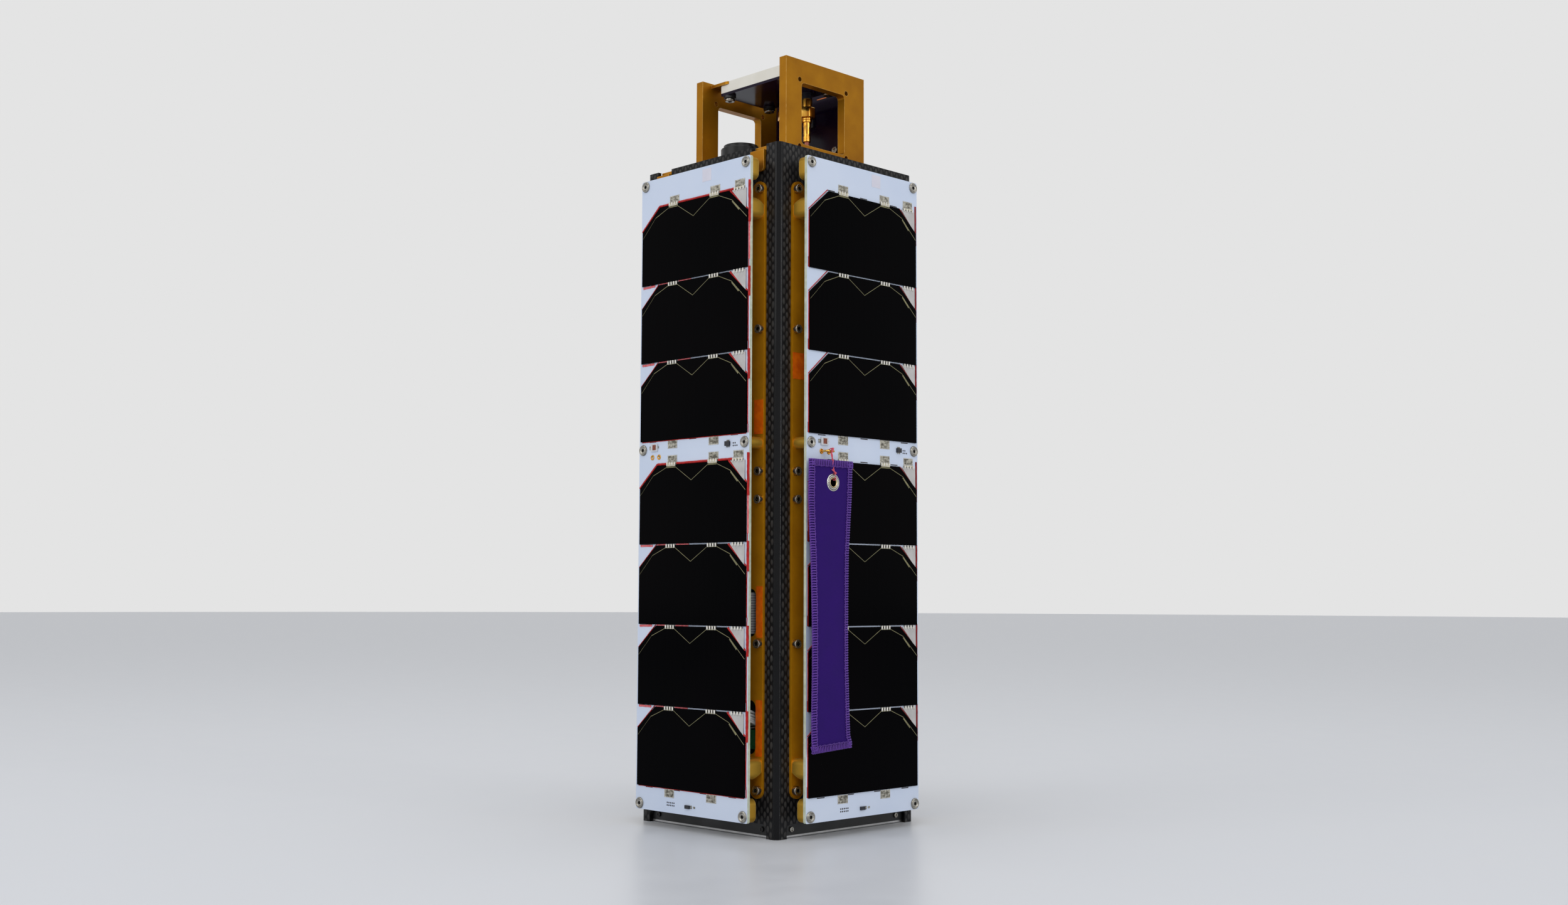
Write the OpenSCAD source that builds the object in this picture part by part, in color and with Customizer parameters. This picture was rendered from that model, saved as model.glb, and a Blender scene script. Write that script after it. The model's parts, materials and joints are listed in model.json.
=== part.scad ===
// Three unit cube satellite with body mounted solar panels, mm, Z up
// Origin at the centre of the square on the surface that the four rail feet stand on
// Four like faces: face 0 looks to the minus Y side, each next one is turned a quarter turn

/* [Body] */
// Outer width of the square carbon tube
body_w = 100; // [98:0.5:102]
// Height of the carbon tube with its feet
body_h = 340.5; // [336:0.5:344]
// Wall of the carbon tube
wall_t = 2; // [1.6:0.1:2.4]
// Outer radius of the tube's long corners
corner_r = 3; // [2.4:0.2:3.6]
// Width of a rail foot on each face
foot_w = 7; // [6:0.5:8]
// Height of the wall's lower edge between the feet
foot_h = 6.85; // [5:0.05:8]
// Radius between a foot and the wall's lower edge
foot_r = 3; // [2:0.5:3.5]
// Corner radius of the cable slots
slot_r = 3.5; // [2:0.5:4]

/* [Solar panels] */
// Distance of a panel board's side edges from the body's side planes
panel_side = 8.75; // [8.5:0.05:10]
// Height of the panel board's lower edge
panel_z = 8; // [7:0.5:9]
// Distance of the panel board's upper edge below the tube's upper edge
panel_drop = 7.5; // [6.5:0.5:9]
// Gap between the wall and the panel board's back
panel_gap = 9.3; // [8.8:0.1:10]
// Thickness of the panel board
panel_t = 1.64; // [1.4:0.02:2]
// Corner radius of the panel board
panel_r = 1; // [0.5:0.1:2]
// Width of the board's bare margin beside the solar cells
cell_side = 1.45; // [1:0.05:2]
// Gap between two solar cells
cell_gap = 0.65; // [0.3:0.05:1]
// Height of the board's bare band above the cells
band_high = 15.8; // [15:0.1:17]
// Height of the board's bare band between the two groups of cells
band_mid = 12.9; // [12:0.1:14]
// Height of the board's bare band below the cells
band_low = 12; // [11:0.1:13]
// Thickness of a cell with its glass and bond line
cell_t = 0.7; // [0.5:0.05:0.9]
// Width of a cell's cropped upper corner
crop_w = 13.5; // [11:0.5:15]
// Height of a cell's cropped upper corner
crop_h = 11.3; // [9:0.1:13]
// Head diameter of a panel screw
panel_head_d = 5.6; // [5:0.1:6]
// Head height of a panel screw
panel_head_t = 0.9; // [0.6:0.1:1.2]
// Shank diameter of a panel screw
panel_screw_d = 2.4; // [2:0.1:2.6]

/* [Side rails] */
// Width of the gold strip that lies on the wall
strip_w = 8.4; // [8:0.1:9]
// Thickness of the gold strip
strip_t = 1.5; // [1.2:0.1:2]
// Distance of the strip's outer edge from the body's side plane
strip_side = 8.5; // [8:0.1:9]
// Head diameter of a strip screw
strip_head_d = 4.4; // [3.8:0.1:4.5]
// Head height of a strip screw
strip_head_t = 2.4; // [1.8:0.1:2.6]
// Shank diameter of a strip screw
strip_screw_d = 2; // [1.6:0.1:2.2]
// Thickness of the arm that carries a panel corner
arm_t = 4; // [3:0.1:5]
// Width of that arm
arm_w = 12.2; // [10:0.1:13]
// Depth of the slope on the block below the arm
slope_w = 4.6; // [3:0.1:6]
// Drop of the slope on the block below the arm
slope_drop = 3.4; // [2:0.1:4]
// Diameter of the standoff at the panel's middle
mid_post_d = 5.8; // [5:0.1:7]

/* [Deck and payload frame] */
// Thickness of the top deck
deck_t = 3; // [2:0.2:4]
// Depth of the deck's upper face below the tube's upper edge
deck_drop = 2.7; // [2:0.1:3.5]
// Width of a lug at the deck's edge
lug_w = 9.7; // [8:0.1:11]
// Distance of a lug's centre from the body's side plane
lug_side = 14.15; // [13:0.05:16]
// Height of the lug's tab on the outside of the wall
lug_h = 10.9; // [8:0.1:12]
// Distance from axis to the outer face of a frame plate
frame_x = 34.2; // [32:0.1:36]
// Thickness of a frame plate
frame_t = 4.9; // [4:0.1:6]
// Width of a frame plate
frame_w = 58.8; // [56:0.2:62]
// Height of a frame plate above the deck
frame_h = 54.4; // [50:0.1:58]
// Size of the square window in a frame plate
view_w = 32.2; // [28:0.1:34]
// Corner radius of that window
view_r = 2; // [1:0.1:3]
// Diameter of the four holes around the window
view_hole_d = 2.5; // [2:0.1:2.6]

/* [Antenna and radio parts] */
// Length of the antenna tile along X
tile_x = 51.7; // [50:0.1:53]
// Width of the antenna tile along Y
tile_y = 36; // [34:0.5:37]
// Thickness of the antenna tile
tile_t = 5.8; // [5:0.1:6.5]
// Thickness of the board under the tile
tile_board_t = 1.4; // [1:0.1:2]
// Width of the left frame plate's upper lugs
tab_w = 8; // [6:0.2:9]
// Thickness of the left frame plate's upper lugs
tab_t = 1.6; // [1.2:0.1:2.2]
// Shank diameter of an antenna screw
tile_screw_d = 2.9; // [2.4:0.1:3]
// Head diameter of an antenna screw
tile_head_d = 5.4; // [5:0.1:6]
// Head height of an antenna screw
tile_head_t = 1.6; // [1.4:0.1:2.4]
// Outer diameter of the lens barrel
lens_d = 21; // [18:0.5:24]
// Height of the lens barrel above the deck
lens_h = 12.5; // [10:0.5:16]
// Width over the flats of a radio connector's nut
nut_w = 8; // [7:0.1:8.4]
// Diameter of a radio cable
coax_d = 2.6; // [2:0.1:3.2]

/* [Flight tag] */
// Width of the tag at its top
tag_w = 31.6; // [26:0.1:34]
// Width of the tag at its bottom
tag_low_w = 29; // [24:0.1:32]
// Length of the tag
tag_h = 140; // [110:1:150]
// Thickness of the tag
tag_t = 0.9; // [0.8:0.1:1.4]
// Wire diameter of the shorting link
link_d = 1; // [0.8:0.1:1.2]
// Reach of the shorting link in front of the board
link_out = 4.1; // [3.5:0.1:6]
// Thread diameter of the tag
thread_d = 0.9; // [0.6:0.1:1.2]

/* [Hidden] */
$fn = 48;
faces = [0, 90, 180, 270];
sides = [-1, 1];
clear = 0.1;
over = 1;
half_w = body_w / 2;
inner_half = half_w - wall_t;
mid_z = body_h / 2;
plug_half = inner_half - clear;

slot_rows = [[39.8, 65.7], [96.5, 119.7]];
slot_side = 13.2;
slot_w = 18.8;
slot_edge = half_w - slot_side;
slot_from = slot_edge - slot_w;

panel_w = body_w - 2 * panel_side;
panel_top = body_h - panel_drop;
panel_h = panel_top - panel_z;
panel_back = half_w + panel_gap;
panel_front = panel_back + panel_t;
panel_mid = (panel_z + panel_top) / 2;

cell_w = panel_w - 2 * cell_side;
low_count = 4;
high_count = 3;
cell_gaps = low_count + high_count - 2;
cell_room = panel_h - band_low - band_mid - band_high - cell_gaps * cell_gap;
cell_h = cell_room / (low_count + high_count);
cell_pitch = cell_h + cell_gap;
lower_cell_z = panel_z + band_low;
upper_cell_z = lower_cell_z + low_count * cell_pitch - cell_gap + band_mid;
lower_rows = [for (i = [0 : low_count - 1]) lower_cell_z + i * cell_pitch];
upper_rows = [for (i = [0 : high_count - 1]) upper_cell_z + i * cell_pitch];
cell_rows = concat(lower_rows, upper_rows);

screw_side = 3.15;
screw_u = panel_w / 2 - screw_side;
screw_inset = 3;
mid_screw_drop = 4.35;
mid_screw_z = upper_cell_z - mid_screw_drop;
panel_rows = [panel_z + screw_inset, mid_screw_z, panel_top - screw_inset];
panel_hole_d = panel_screw_d + 2 * clear;
panel_screw_end = half_w + 2.6;

strip_out = half_w + strip_t;
strip_edge = half_w - strip_side;
strip_mid_u = strip_edge - strip_w / 2;
strip_screw_inset = 2.3;
strip_screw_u = strip_edge - strip_screw_inset;
strip_drop = 22.95;
strip_end = mid_z - strip_drop;
strip_steps = [1, 0.5234, 0.0468];
strip_rows = [for (s = sides) for (k = strip_steps) s * k * strip_end];
strip_hole_d = strip_screw_d + 2 * clear;
strip_screw_end = inner_half - 1;

arm_side = panel_w / 2;
arm_back = panel_back - arm_t;
block_drop = 20.3;
block_h = 10;
notch_h = 9;
block_top = panel_h / 2 - block_drop;
block_low = block_top - block_h;
notch_top = block_top + notch_h;
notch_in = 6.8;
arm_r = 3;

deck_top = body_h - deck_drop;
lug_u = half_w - lug_side;
lug_z = deck_top - lug_h;
lug_cut = 0.4;
lug_depth = 6;
lug_lip = 2.5;
lug_r = 2;

frame_top = deck_top + frame_h;
view_y = -1.9;
view_lift = 10.3;
view_z = deck_top + view_lift;
view_hole_pitch = 35;
tile_mid_y = -4.2;
tab_inset = 3.5;
tile_right = frame_x - frame_t - clear;
tile_left = tile_right - tile_x;
tab_reach = -tile_left - tab_inset;
tile_spots = [tile_left + tab_inset, tile_right - tab_inset];
tab_pitch = 29.6;
tab_drop = 1;
tab_z = frame_top - tab_drop - tab_t;
tile_z = frame_top - tab_drop - tile_t;
tile_board_z = tile_z - tile_board_t;
tile_hole_d = tile_screw_d + 2 * clear;
spacer_d = 6.5;
spacer_t = 1.4;
rear_board_y = frame_w / 2 - 3.1;
rear_board_t = 1.6;
rear_board_h = 50.2;

lens_side = 20;
lens_x = 1.6;
lens_y = lens_side - half_w;
lens_seat_h = lens_h - 6.5;
lens_glass_h = lens_h - 4.5;
lens_step = lens_h - 1.9;
lens_seat_r = lens_d / 2 - 1;
lens_top_r = lens_d / 2 - 1.4;
lens_mouth = 7.2;
lens_bore = 5.2;
lens_floor = lens_h - 2.7;

jack_spots = [[14, 6.5], [3.2, 1.5]];
jack_flange_d = 6;
jack_flange_t = 1.6;
jack_barrel_d = 5.8;
jack_h = 8;
nut_h = 5.8;
nut_top = tile_board_z - jack_h;
nut_low = nut_top - nut_h;
collar_d = 5.5;
collar_h = 2.3;
collar_low = nut_low - collar_h;
ferrule_d = 4.2;
ferrule_h = 10.6;
ferrule_low = collar_low - ferrule_h;

base_z = 1.2;
base_top = 14;
base_ring = 9;
base_plate_z = 0.3;
base_screw_side = 12;
base_screw_u = half_w - base_screw_side;
base_screw_z = 4;
base_screw_d = 2.6;
base_screw_t = 0.8;
base_screw_in = 4;

stack_side = 8;
stack_w = body_w - 2 * stack_side;
stack_lift = 8;
stack_z = base_top + stack_lift;
stack_drop = 12.8;
stack_top = deck_top - deck_t - stack_drop;
post_d = 5;
post_side = 10.5;
post_u = half_w - post_side;

wire_d = 1.2;
wire_count = 5;
wire_pitch = 1.4;
wire_lift = 14.4;
wire_rows = [for (i = [0 : wire_count - 1]) slot_rows[0][0] + wire_lift + i * wire_pitch];
wire_inset = 10.2;
wire_u = slot_edge - wire_inset;
wire_mid = (stack_w / 2 + panel_back) / 2;
bend_r = (panel_back - stack_w / 2) / 2 - clear;
ribbon_t = 0.9;
ribbon_low = slot_rows[1][0] + 1.5;
ribbon_h = 20;

link_side = 10.5;
link_pitch = 5.1;
link_rows = [link_side - panel_w / 2, link_side + link_pitch - panel_w / 2];
link_drop = 8.45;
link_z = upper_cell_z - link_drop;
link_bar = panel_front + link_out;
link_back = panel_back - 1.5;
socket_d = 2.2;
socket_t = 1.3;
thread_y = (link_rows[0] + link_rows[1]) / 2;
thread_r = 1.25;
thread_lean = 9;
thread_drop = 12.9;
tag_x = link_bar;
tag_drop = 4.7;
tag_top = link_z - tag_drop;
tag_mid_y = thread_y + 0.8;
tag_low_y = thread_y + 1.7;
eye_y = thread_y + 1;
eye_drop = 15.4;
eye_z = link_z - eye_drop;
eye_d = 9.6;
eye_hole = 5;
eye_t = 0.25;

// Square with rounded corners about the origin
module round_square(w, h, r) {
    square([w - 2 * r, h], center = true);
    square([w, h - 2 * r], center = true);
    for (i = sides)
        for (j = sides)
            translate([i * (w / 2 - r), j * (h / 2 - r)])
                circle(r);
}

// Upright strip with full round ends, w wide, its end centres h apart
module stadium(w, h) {
    square([w, h], center = true);
    for (i = sides)
        translate([0, i * h / 2])
            circle(d = w);
}

// Upright opening through a wall of face 0, from u0 to u1 and z0 to z1, between two depths
module face_cut(u0, u1, z0, z1, r, from_y, to_y) {
    translate([(u0 + u1) / 2, -from_y, (z0 + z1) / 2])
        rotate([90, 0, 0])
            linear_extrude(to_y - from_y)
                round_square(u1 - u0, z1 - z0, r);
}

// Rod that points out of face 0
module face_rod(u, z, d, from_y, to_y) {
    translate([u, -from_y, z])
        rotate([90, 0, 0])
            cylinder(d = d, h = to_y - from_y);
}

// Places a piece on one of the four faces
module on_face(a) {
    rotate([0, 0, a])
        children();
}

module tube_profile() {
    difference() {
        round_square(body_w, body_w, corner_r);
        round_square(2 * inner_half, 2 * inner_half, corner_r - wall_t);
    }
}

// Carbon tube with feet, cable slots behind the panels and deck notches
module carbon_body() {
    color([0.09, 0.09, 0.1])
        difference() {
            linear_extrude(body_h)
                tube_profile();
            for (a = faces)
                on_face(a) {
                    face_cut(foot_w - half_w, half_w - foot_w, -foot_h, foot_h, foot_r, inner_half - over, half_w + over);
                    for (row = slot_rows)
                        face_cut(slot_from, slot_edge, row[0], row[1], slot_r, inner_half - over, half_w + over);
                    for (s = sides)
                        for (z = strip_rows)
                            face_rod(s * strip_screw_u, mid_z + z, strip_hole_d, inner_half - over, half_w + over);
                }
            for (a = [0, 180])
                on_face(a)
                    for (s = sides)
                        translate([s * lug_u - lug_w / 2 - lug_cut, -half_w - over, deck_top - deck_t])
                            cube([lug_w + 2 * lug_cut, wall_t + 2 * over, body_h]);
        }
}

// Black frame that closes the tube between the feet
module base_frame() {
    color([0.12, 0.11, 0.11])
        difference() {
            translate([0, 0, base_z])
                linear_extrude(base_top - base_z)
                    difference() {
                        round_square(2 * plug_half, 2 * plug_half, corner_r - wall_t);
                        round_square(2 * (plug_half - base_ring), 2 * (plug_half - base_ring), foot_r);
                    }
            for (a = faces)
                on_face(a)
                    for (s = sides)
                        face_rod(s * base_screw_u, base_screw_z, strip_screw_d, plug_half - base_screw_in, half_w);
        }
}

module base_plate() {
    color([0.75, 0.76, 0.78])
        translate([0, 0, base_plate_z])
            linear_extrude(base_z - base_plate_z)
                round_square(2 * plug_half, 2 * plug_half, corner_r - wall_t);
}

module base_screws() {
    color([0.8, 0.8, 0.82])
        for (a = faces)
            on_face(a)
                for (s = sides) {
                    face_rod(s * base_screw_u, base_screw_z, base_screw_d, plug_half, plug_half + base_screw_t);
                    face_rod(s * base_screw_u, base_screw_z, strip_screw_d - clear, plug_half - base_screw_in, plug_half);
                }
}

// Gold deck plate with lugs that reach through the wall and down its outside
module top_deck() {
    color([0.72, 0.5, 0.18])
        difference() {
            union() {
                translate([0, 0, deck_top - deck_t])
                    linear_extrude(deck_t)
                        round_square(2 * plug_half, 2 * plug_half, corner_r - wall_t);
                for (a = [0, 180])
                    on_face(a)
                        for (s = sides)
                            translate([s * lug_u, 0, 0])
                                deck_lug();
            }
            translate([lens_x, lens_y, deck_top - deck_t - over])
                cylinder(r = lens_mouth, h = deck_t + 2 * over);
            for (spot = jack_spots)
                translate([spot[0], spot[1], deck_top - deck_t - over])
                    cylinder(d = coax_d + 2 * clear, h = deck_t + 2 * over);
        }
}

// One lug: a bar through the notch, a raised lip inside and a round ended tab outside
module deck_lug() {
    translate([-lug_w / 2, -strip_out, deck_top - deck_t])
        cube([lug_w, strip_out - plug_half + over, deck_t]);
    translate([-lug_w / 2, -plug_half, deck_top - over])
        cube([lug_w, lug_depth, lug_lip + over]);
    translate([0, -half_w, 0])
        rotate([90, 0, 0])
            linear_extrude(strip_t)
                translate([0, (lug_z + deck_top) / 2])
                    round_square(lug_w, deck_top - lug_z, lug_r);
}

// Batteries and electronics inside the tube as one plain block
module inner_stack() {
    color([0.25, 0.3, 0.26])
        translate([-stack_w / 2, -stack_w / 2, stack_z])
            cube([stack_w, stack_w, stack_top - stack_z]);
}

module inner_posts() {
    color([0.7, 0.7, 0.72])
        for (a = faces)
            on_face(a) {
                translate([post_u, post_u, base_top])
                    cylinder(d = post_d, h = stack_z - base_top);
                translate([post_u, post_u, stack_top])
                    cylinder(d = post_d, h = deck_top - deck_t - stack_top);
            }
}

// C shaped outline of an arm: the block, the tip under the panel's corner and the web between them
module arm_outline(tip) {
    translate([arm_side - arm_w / 2, (block_low + block_top) / 2])
        round_square(arm_w, block_h, arm_r);
    translate([arm_side - arm_w / 2, (notch_top + tip) / 2])
        round_square(arm_w, tip - notch_top, arm_r);
    translate([arm_side - arm_w, block_low + arm_r])
        square([arm_w - notch_in, tip - block_low - 2 * arm_r]);
}

// End bracket of a rail: a sloped block on the strip and a thin arm to the panel's corner
module rail_bracket(tip) {
    intersection() {
        translate([arm_side - arm_w, 0, 0])
            rotate([90, 0, 90])
                linear_extrude(arm_w)
                    polygon([[-strip_out, block_low], [-panel_back, block_low], [-panel_back, block_top],
                        [-strip_out - slope_w, block_top], [-strip_out, block_top - slope_drop]]);
        face_cut(arm_side - arm_w, arm_side, block_low, block_top, arm_r, half_w, panel_back);
    }
    difference() {
        translate([0, -arm_back, 0])
            rotate([90, 0, 0])
                linear_extrude(arm_t)
                    arm_outline(tip);
        face_rod(screw_u, tip - screw_inset, panel_screw_d, arm_back - over, panel_back + over);
    }
}

// One gold rail of face 0: strip, two brackets and the middle standoff
module rail(s) {
    difference() {
        union() {
            translate([s * strip_mid_u, -half_w, mid_z])
                rotate([90, 0, 0])
                    linear_extrude(strip_t)
                        stadium(strip_w, 2 * strip_end);
            scale([s, 1, 1])
                translate([0, 0, panel_mid]) {
                    rail_bracket(panel_top - panel_mid);
                    mirror([0, 0, 1])
                        rail_bracket(panel_mid - panel_z);
                }
            face_rod(s * screw_u, mid_screw_z, mid_post_d, half_w, panel_back);
        }
        for (z = strip_rows)
            face_rod(s * strip_screw_u, mid_z + z, strip_hole_d, half_w - over, strip_out + over);
        face_rod(s * screw_u, mid_screw_z, panel_screw_d, panel_screw_end, panel_back + over);
        if (s > 0)
            for (row = slot_rows)
                face_cut(slot_from, slot_edge, row[0], row[1], slot_r, half_w - over, strip_out + over);
    }
}

module rails(a) {
    color([0.76, 0.53, 0.17])
        on_face(a)
            for (s = sides)
                rail(s);
}

module strip_screws() {
    color([0.78, 0.78, 0.8])
        for (a = faces)
            on_face(a)
                for (s = sides)
                    for (z = strip_rows) {
                        face_rod(s * strip_screw_u, mid_z + z, strip_head_d, strip_out, strip_out + strip_head_t);
                        face_rod(s * strip_screw_u, mid_z + z, strip_screw_d, strip_screw_end, strip_out);
                    }
}

// Panel board of one face with its screw holes and the two link holes
module panel(a) {
    color([0.8, 0.85, 0.9])
        on_face(a)
            difference() {
                face_cut(-panel_w / 2, panel_w / 2, panel_z, panel_top, panel_r, panel_back, panel_front);
                for (s = sides)
                    for (z = panel_rows)
                        face_rod(s * screw_u, z, panel_hole_d, panel_back - over, panel_front + over);
                for (y = link_rows)
                    face_rod(y, link_z, link_d + 2 * clear, panel_back - over, panel_front + over);
            }
}

// Seven solar cells of one face, each with two cropped upper corners
module cells(a) {
    color([0.06, 0.05, 0.1])
        on_face(a)
            for (z = cell_rows)
                translate([0, -panel_front, z])
                    rotate([90, 0, 0])
                        linear_extrude(cell_t)
                            polygon([[-cell_w / 2, 0], [cell_w / 2, 0], [cell_w / 2, cell_h - crop_h],
                                [cell_w / 2 - crop_w, cell_h], [crop_w - cell_w / 2, cell_h],
                                [-cell_w / 2, cell_h - crop_h]]);
}

module panel_screws() {
    color([0.75, 0.75, 0.77])
        for (a = faces)
            on_face(a)
                for (s = sides)
                    for (z = panel_rows) {
                        face_rod(s * screw_u, z, panel_head_d, panel_front, panel_front + panel_head_t);
                        face_rod(s * screw_u, z, panel_screw_d, arm_back, panel_front);
                    }
}

// Wires and a ribbon cable that bend from the inside through a slot to the panel's back
module harness() {
    color([0.85, 0.85, 0.85])
        for (a = faces)
            on_face(a) {
                for (z = wire_rows)
                    translate([wire_u, -wire_mid, z])
                        rotate([0, 0, -90])
                            rotate_extrude(angle = 180)
                                translate([bend_r - wire_d / 2, 0])
                                    circle(d = wire_d, $fn = 16);
                translate([wire_u, -wire_mid, ribbon_low])
                    rotate([0, 0, -90])
                        rotate_extrude(angle = 180)
                            translate([bend_r - ribbon_t, 0])
                                square([ribbon_t, ribbon_h]);
            }
}

// Picture frame plate with its window and four holes, the left one with two upper lugs
module frame_plate(s) {
    color([0.76, 0.53, 0.17])
        scale([s, 1, 1]) {
            difference() {
                translate([frame_x - frame_t, -frame_w / 2, deck_top])
                    cube([frame_t, frame_w, frame_top - deck_top]);
                translate([frame_x - frame_t - over, view_y, view_z + view_w / 2])
                    rotate([90, 0, 90])
                        linear_extrude(frame_t + 2 * over) {
                            round_square(view_w, view_w, view_r);
                            for (i = sides)
                                for (j = sides)
                                    translate([i * view_hole_pitch / 2, j * view_hole_pitch / 2])
                                        circle(d = view_hole_d);
                        }
            }
            if (s < 0)
                for (i = sides)
                    translate([0, tile_mid_y + i * tab_pitch / 2, tab_z])
                        linear_extrude(tab_t)
                            difference() {
                                union() {
                                    translate([tab_reach, -tab_w / 2])
                                        square([frame_x - frame_t - tab_reach, tab_w]);
                                    translate([tab_reach, 0])
                                        circle(d = tab_w);
                                }
                                translate([tab_reach, 0])
                                    circle(d = tile_screw_d);
                            }
        }
}

module frame_left() {
    frame_plate(-1);
}

module frame_right() {
    frame_plate(1);
}

// White antenna tile with a pocket for each lug of the left plate, its other end against the right plate
module antenna_tile() {
    color([0.93, 0.92, 0.9])
        difference() {
            translate([tile_left, tile_mid_y - tile_y / 2, tile_z])
                cube([tile_x, tile_y, tile_t]);
            for (i = sides)
                scale([-1, i, 1])
                    translate([tab_reach, i * tile_mid_y + tab_pitch / 2, tab_z - clear / 2])
                        linear_extrude(tile_t) {
                            circle(d = tab_w + 2 * clear);
                            translate([0, -tab_w / 2 - clear])
                                square([tile_x, tab_w + 2 * over]);
                        }
            tile_bores();
        }
}

module antenna_board() {
    color([0.16, 0.09, 0.2])
        difference() {
            translate([tile_left, tile_mid_y - tile_y / 2, tile_board_z])
                cube([tile_x, tile_y, tile_board_t]);
            tile_bores();
        }
}

// Bores through the tile and its board at the four screws
module tile_bores() {
    for (x = tile_spots)
        for (i = sides)
            translate([x, tile_mid_y + i * tab_pitch / 2, tile_board_z - over])
                cylinder(d = tile_hole_d, h = tile_t + tile_board_t + 2 * over);
}

module antenna_spacers() {
    color([0.08, 0.08, 0.08])
        for (x = tile_spots)
            for (i = sides)
                translate([x, tile_mid_y + i * tab_pitch / 2, tile_board_z - spacer_t])
                    difference() {
                        cylinder(d = spacer_d, h = spacer_t);
                        translate([0, 0, -over])
                            cylinder(d = tile_hole_d, h = spacer_t + 2 * over);
                    }
}

module antenna_screws() {
    color([0.82, 0.82, 0.84])
        for (x = tile_spots)
            for (i = sides)
                translate([x, tile_mid_y + i * tab_pitch / 2, tile_board_z - spacer_t - tile_head_t]) {
                    cylinder(d = tile_head_d, h = tile_head_t);
                    cylinder(d = tile_screw_d, h = tab_z + tab_t - (tile_board_z - spacer_t - tile_head_t));
                }
}

module rear_board() {
    color([0.2, 0.1, 0.25])
        translate([-(frame_x - frame_t), rear_board_y, deck_top])
            cube([2 * (frame_x - frame_t), rear_board_t, rear_board_h]);
}

module lens_mount() {
    color([0.72, 0.5, 0.18])
        translate([lens_x, lens_y, deck_top])
            difference() {
                cylinder(r = lens_seat_r, h = lens_seat_h);
                translate([0, 0, -over])
                    cylinder(r = lens_mouth, h = lens_seat_h + 2 * over);
            }
}

// Stepped black barrel with an open mouth
module lens_barrel() {
    color([0.07, 0.07, 0.07])
        translate([lens_x, lens_y, deck_top])
            rotate_extrude()
                polygon([[lens_bore, lens_seat_h], [lens_d / 2, lens_seat_h], [lens_d / 2, lens_step],
                    [lens_top_r, lens_step], [lens_top_r, lens_h], [lens_mouth, lens_h],
                    [lens_bore, lens_floor]]);
}

module lens_glass() {
    color([0.2, 0.25, 0.35])
        translate([lens_x, lens_y, deck_top + lens_glass_h])
            cylinder(r = lens_bore, h = over);
}

module radio_jacks() {
    color([0.8, 0.6, 0.25])
        for (spot = jack_spots)
            translate([spot[0], spot[1], 0]) {
                translate([0, 0, tile_board_z - jack_flange_t])
                    cylinder(d = jack_flange_d, h = jack_flange_t);
                translate([0, 0, nut_top])
                    cylinder(d = jack_barrel_d, h = tile_board_z - jack_flange_t - nut_top);
            }
}

module radio_plugs() {
    color([0.8, 0.6, 0.25])
        for (spot = jack_spots)
            translate([spot[0], spot[1], 0]) {
                translate([0, 0, nut_low])
                    cylinder(d = nut_w / cos(30), h = nut_top - nut_low, $fn = 6);
                translate([0, 0, collar_low])
                    cylinder(d = collar_d, h = nut_low - collar_low);
                translate([0, 0, ferrule_low])
                    cylinder(d = ferrule_d, h = collar_low - ferrule_low);
            }
}

module radio_cables() {
    color([0.75, 0.45, 0.35])
        for (spot = jack_spots)
            translate([spot[0], spot[1], deck_top - deck_t])
                cylinder(d = coax_d, h = ferrule_low - deck_top + deck_t);
}

// Gold sockets behind the link's holes, on every panel
module link_sockets() {
    color([0.8, 0.6, 0.25])
        for (a = faces)
            on_face(a)
                for (y = link_rows)
                    difference() {
                        face_rod(y, link_z, socket_d, panel_back - socket_t, panel_back);
                        face_rod(y, link_z, link_d + 2 * clear, panel_back - socket_t - over, panel_back + over);
                    }
}

// Gold wire link with two legs in the sockets of the panel on the plus X side
module shorting_link() {
    color([0.8, 0.6, 0.25]) {
        for (y = link_rows)
            translate([link_back, y, link_z])
                rotate([0, 90, 0])
                    cylinder(d = link_d, h = link_bar - link_back);
        translate([link_bar, link_rows[0], link_z])
            rotate([-90, 0, 0])
                cylinder(d = link_d, h = link_rows[1] - link_rows[0]);
        for (y = link_rows)
            translate([link_bar, y, link_z])
                sphere(d = link_d);
    }
}

// Thread loop that hangs over the link's bar and runs through the tag's eyelet
module tag_thread() {
    color([0.8, 0.2, 0.25])
        translate([link_bar, thread_y, link_z])
            rotate([thread_lean, 0, 0]) {
                thread_bend();
                for (s = sides)
                    translate([s * thread_r, 0, -thread_drop])
                        cylinder(d = thread_d, h = thread_drop, $fn = 16);
                translate([0, 0, -thread_drop])
                    rotate([0, 180, 0])
                        thread_bend();
            }
}

// Half ring of thread, bent upwards in the XZ plane
module thread_bend() {
    rotate([90, 0, 0])
        rotate_extrude(angle = 180)
            translate([thread_r, 0])
                circle(d = thread_d, $fn = 16);
}

module tag_eye() {
    color([0.75, 0.76, 0.78])
        translate([tag_x, eye_y, eye_z])
            rotate([0, 90, 0])
                difference() {
                    translate([0, 0, -tag_t / 2 - eye_t])
                        cylinder(d = eye_d, h = tag_t + 2 * eye_t);
                    translate([0, 0, -tag_t / 2 - eye_t - over])
                        cylinder(d = eye_hole, h = tag_t + 2 * eye_t + 2 * over);
                }
}

// Cloth tag that hangs from the thread
module flight_tag() {
    color([0.35, 0.12, 0.45])
        translate([tag_x - tag_t / 2, 0, 0])
            rotate([90, 0, 90])
                linear_extrude(tag_t)
                    difference() {
                        polygon([[tag_mid_y - tag_w / 2, tag_top], [tag_mid_y + tag_w / 2, tag_top],
                            [tag_low_y + tag_low_w / 2, tag_top - tag_h], [tag_low_y - tag_low_w / 2, tag_top - tag_h]]);
                        translate([eye_y, eye_z])
                            circle(d = eye_d);
                    }
}

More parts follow.
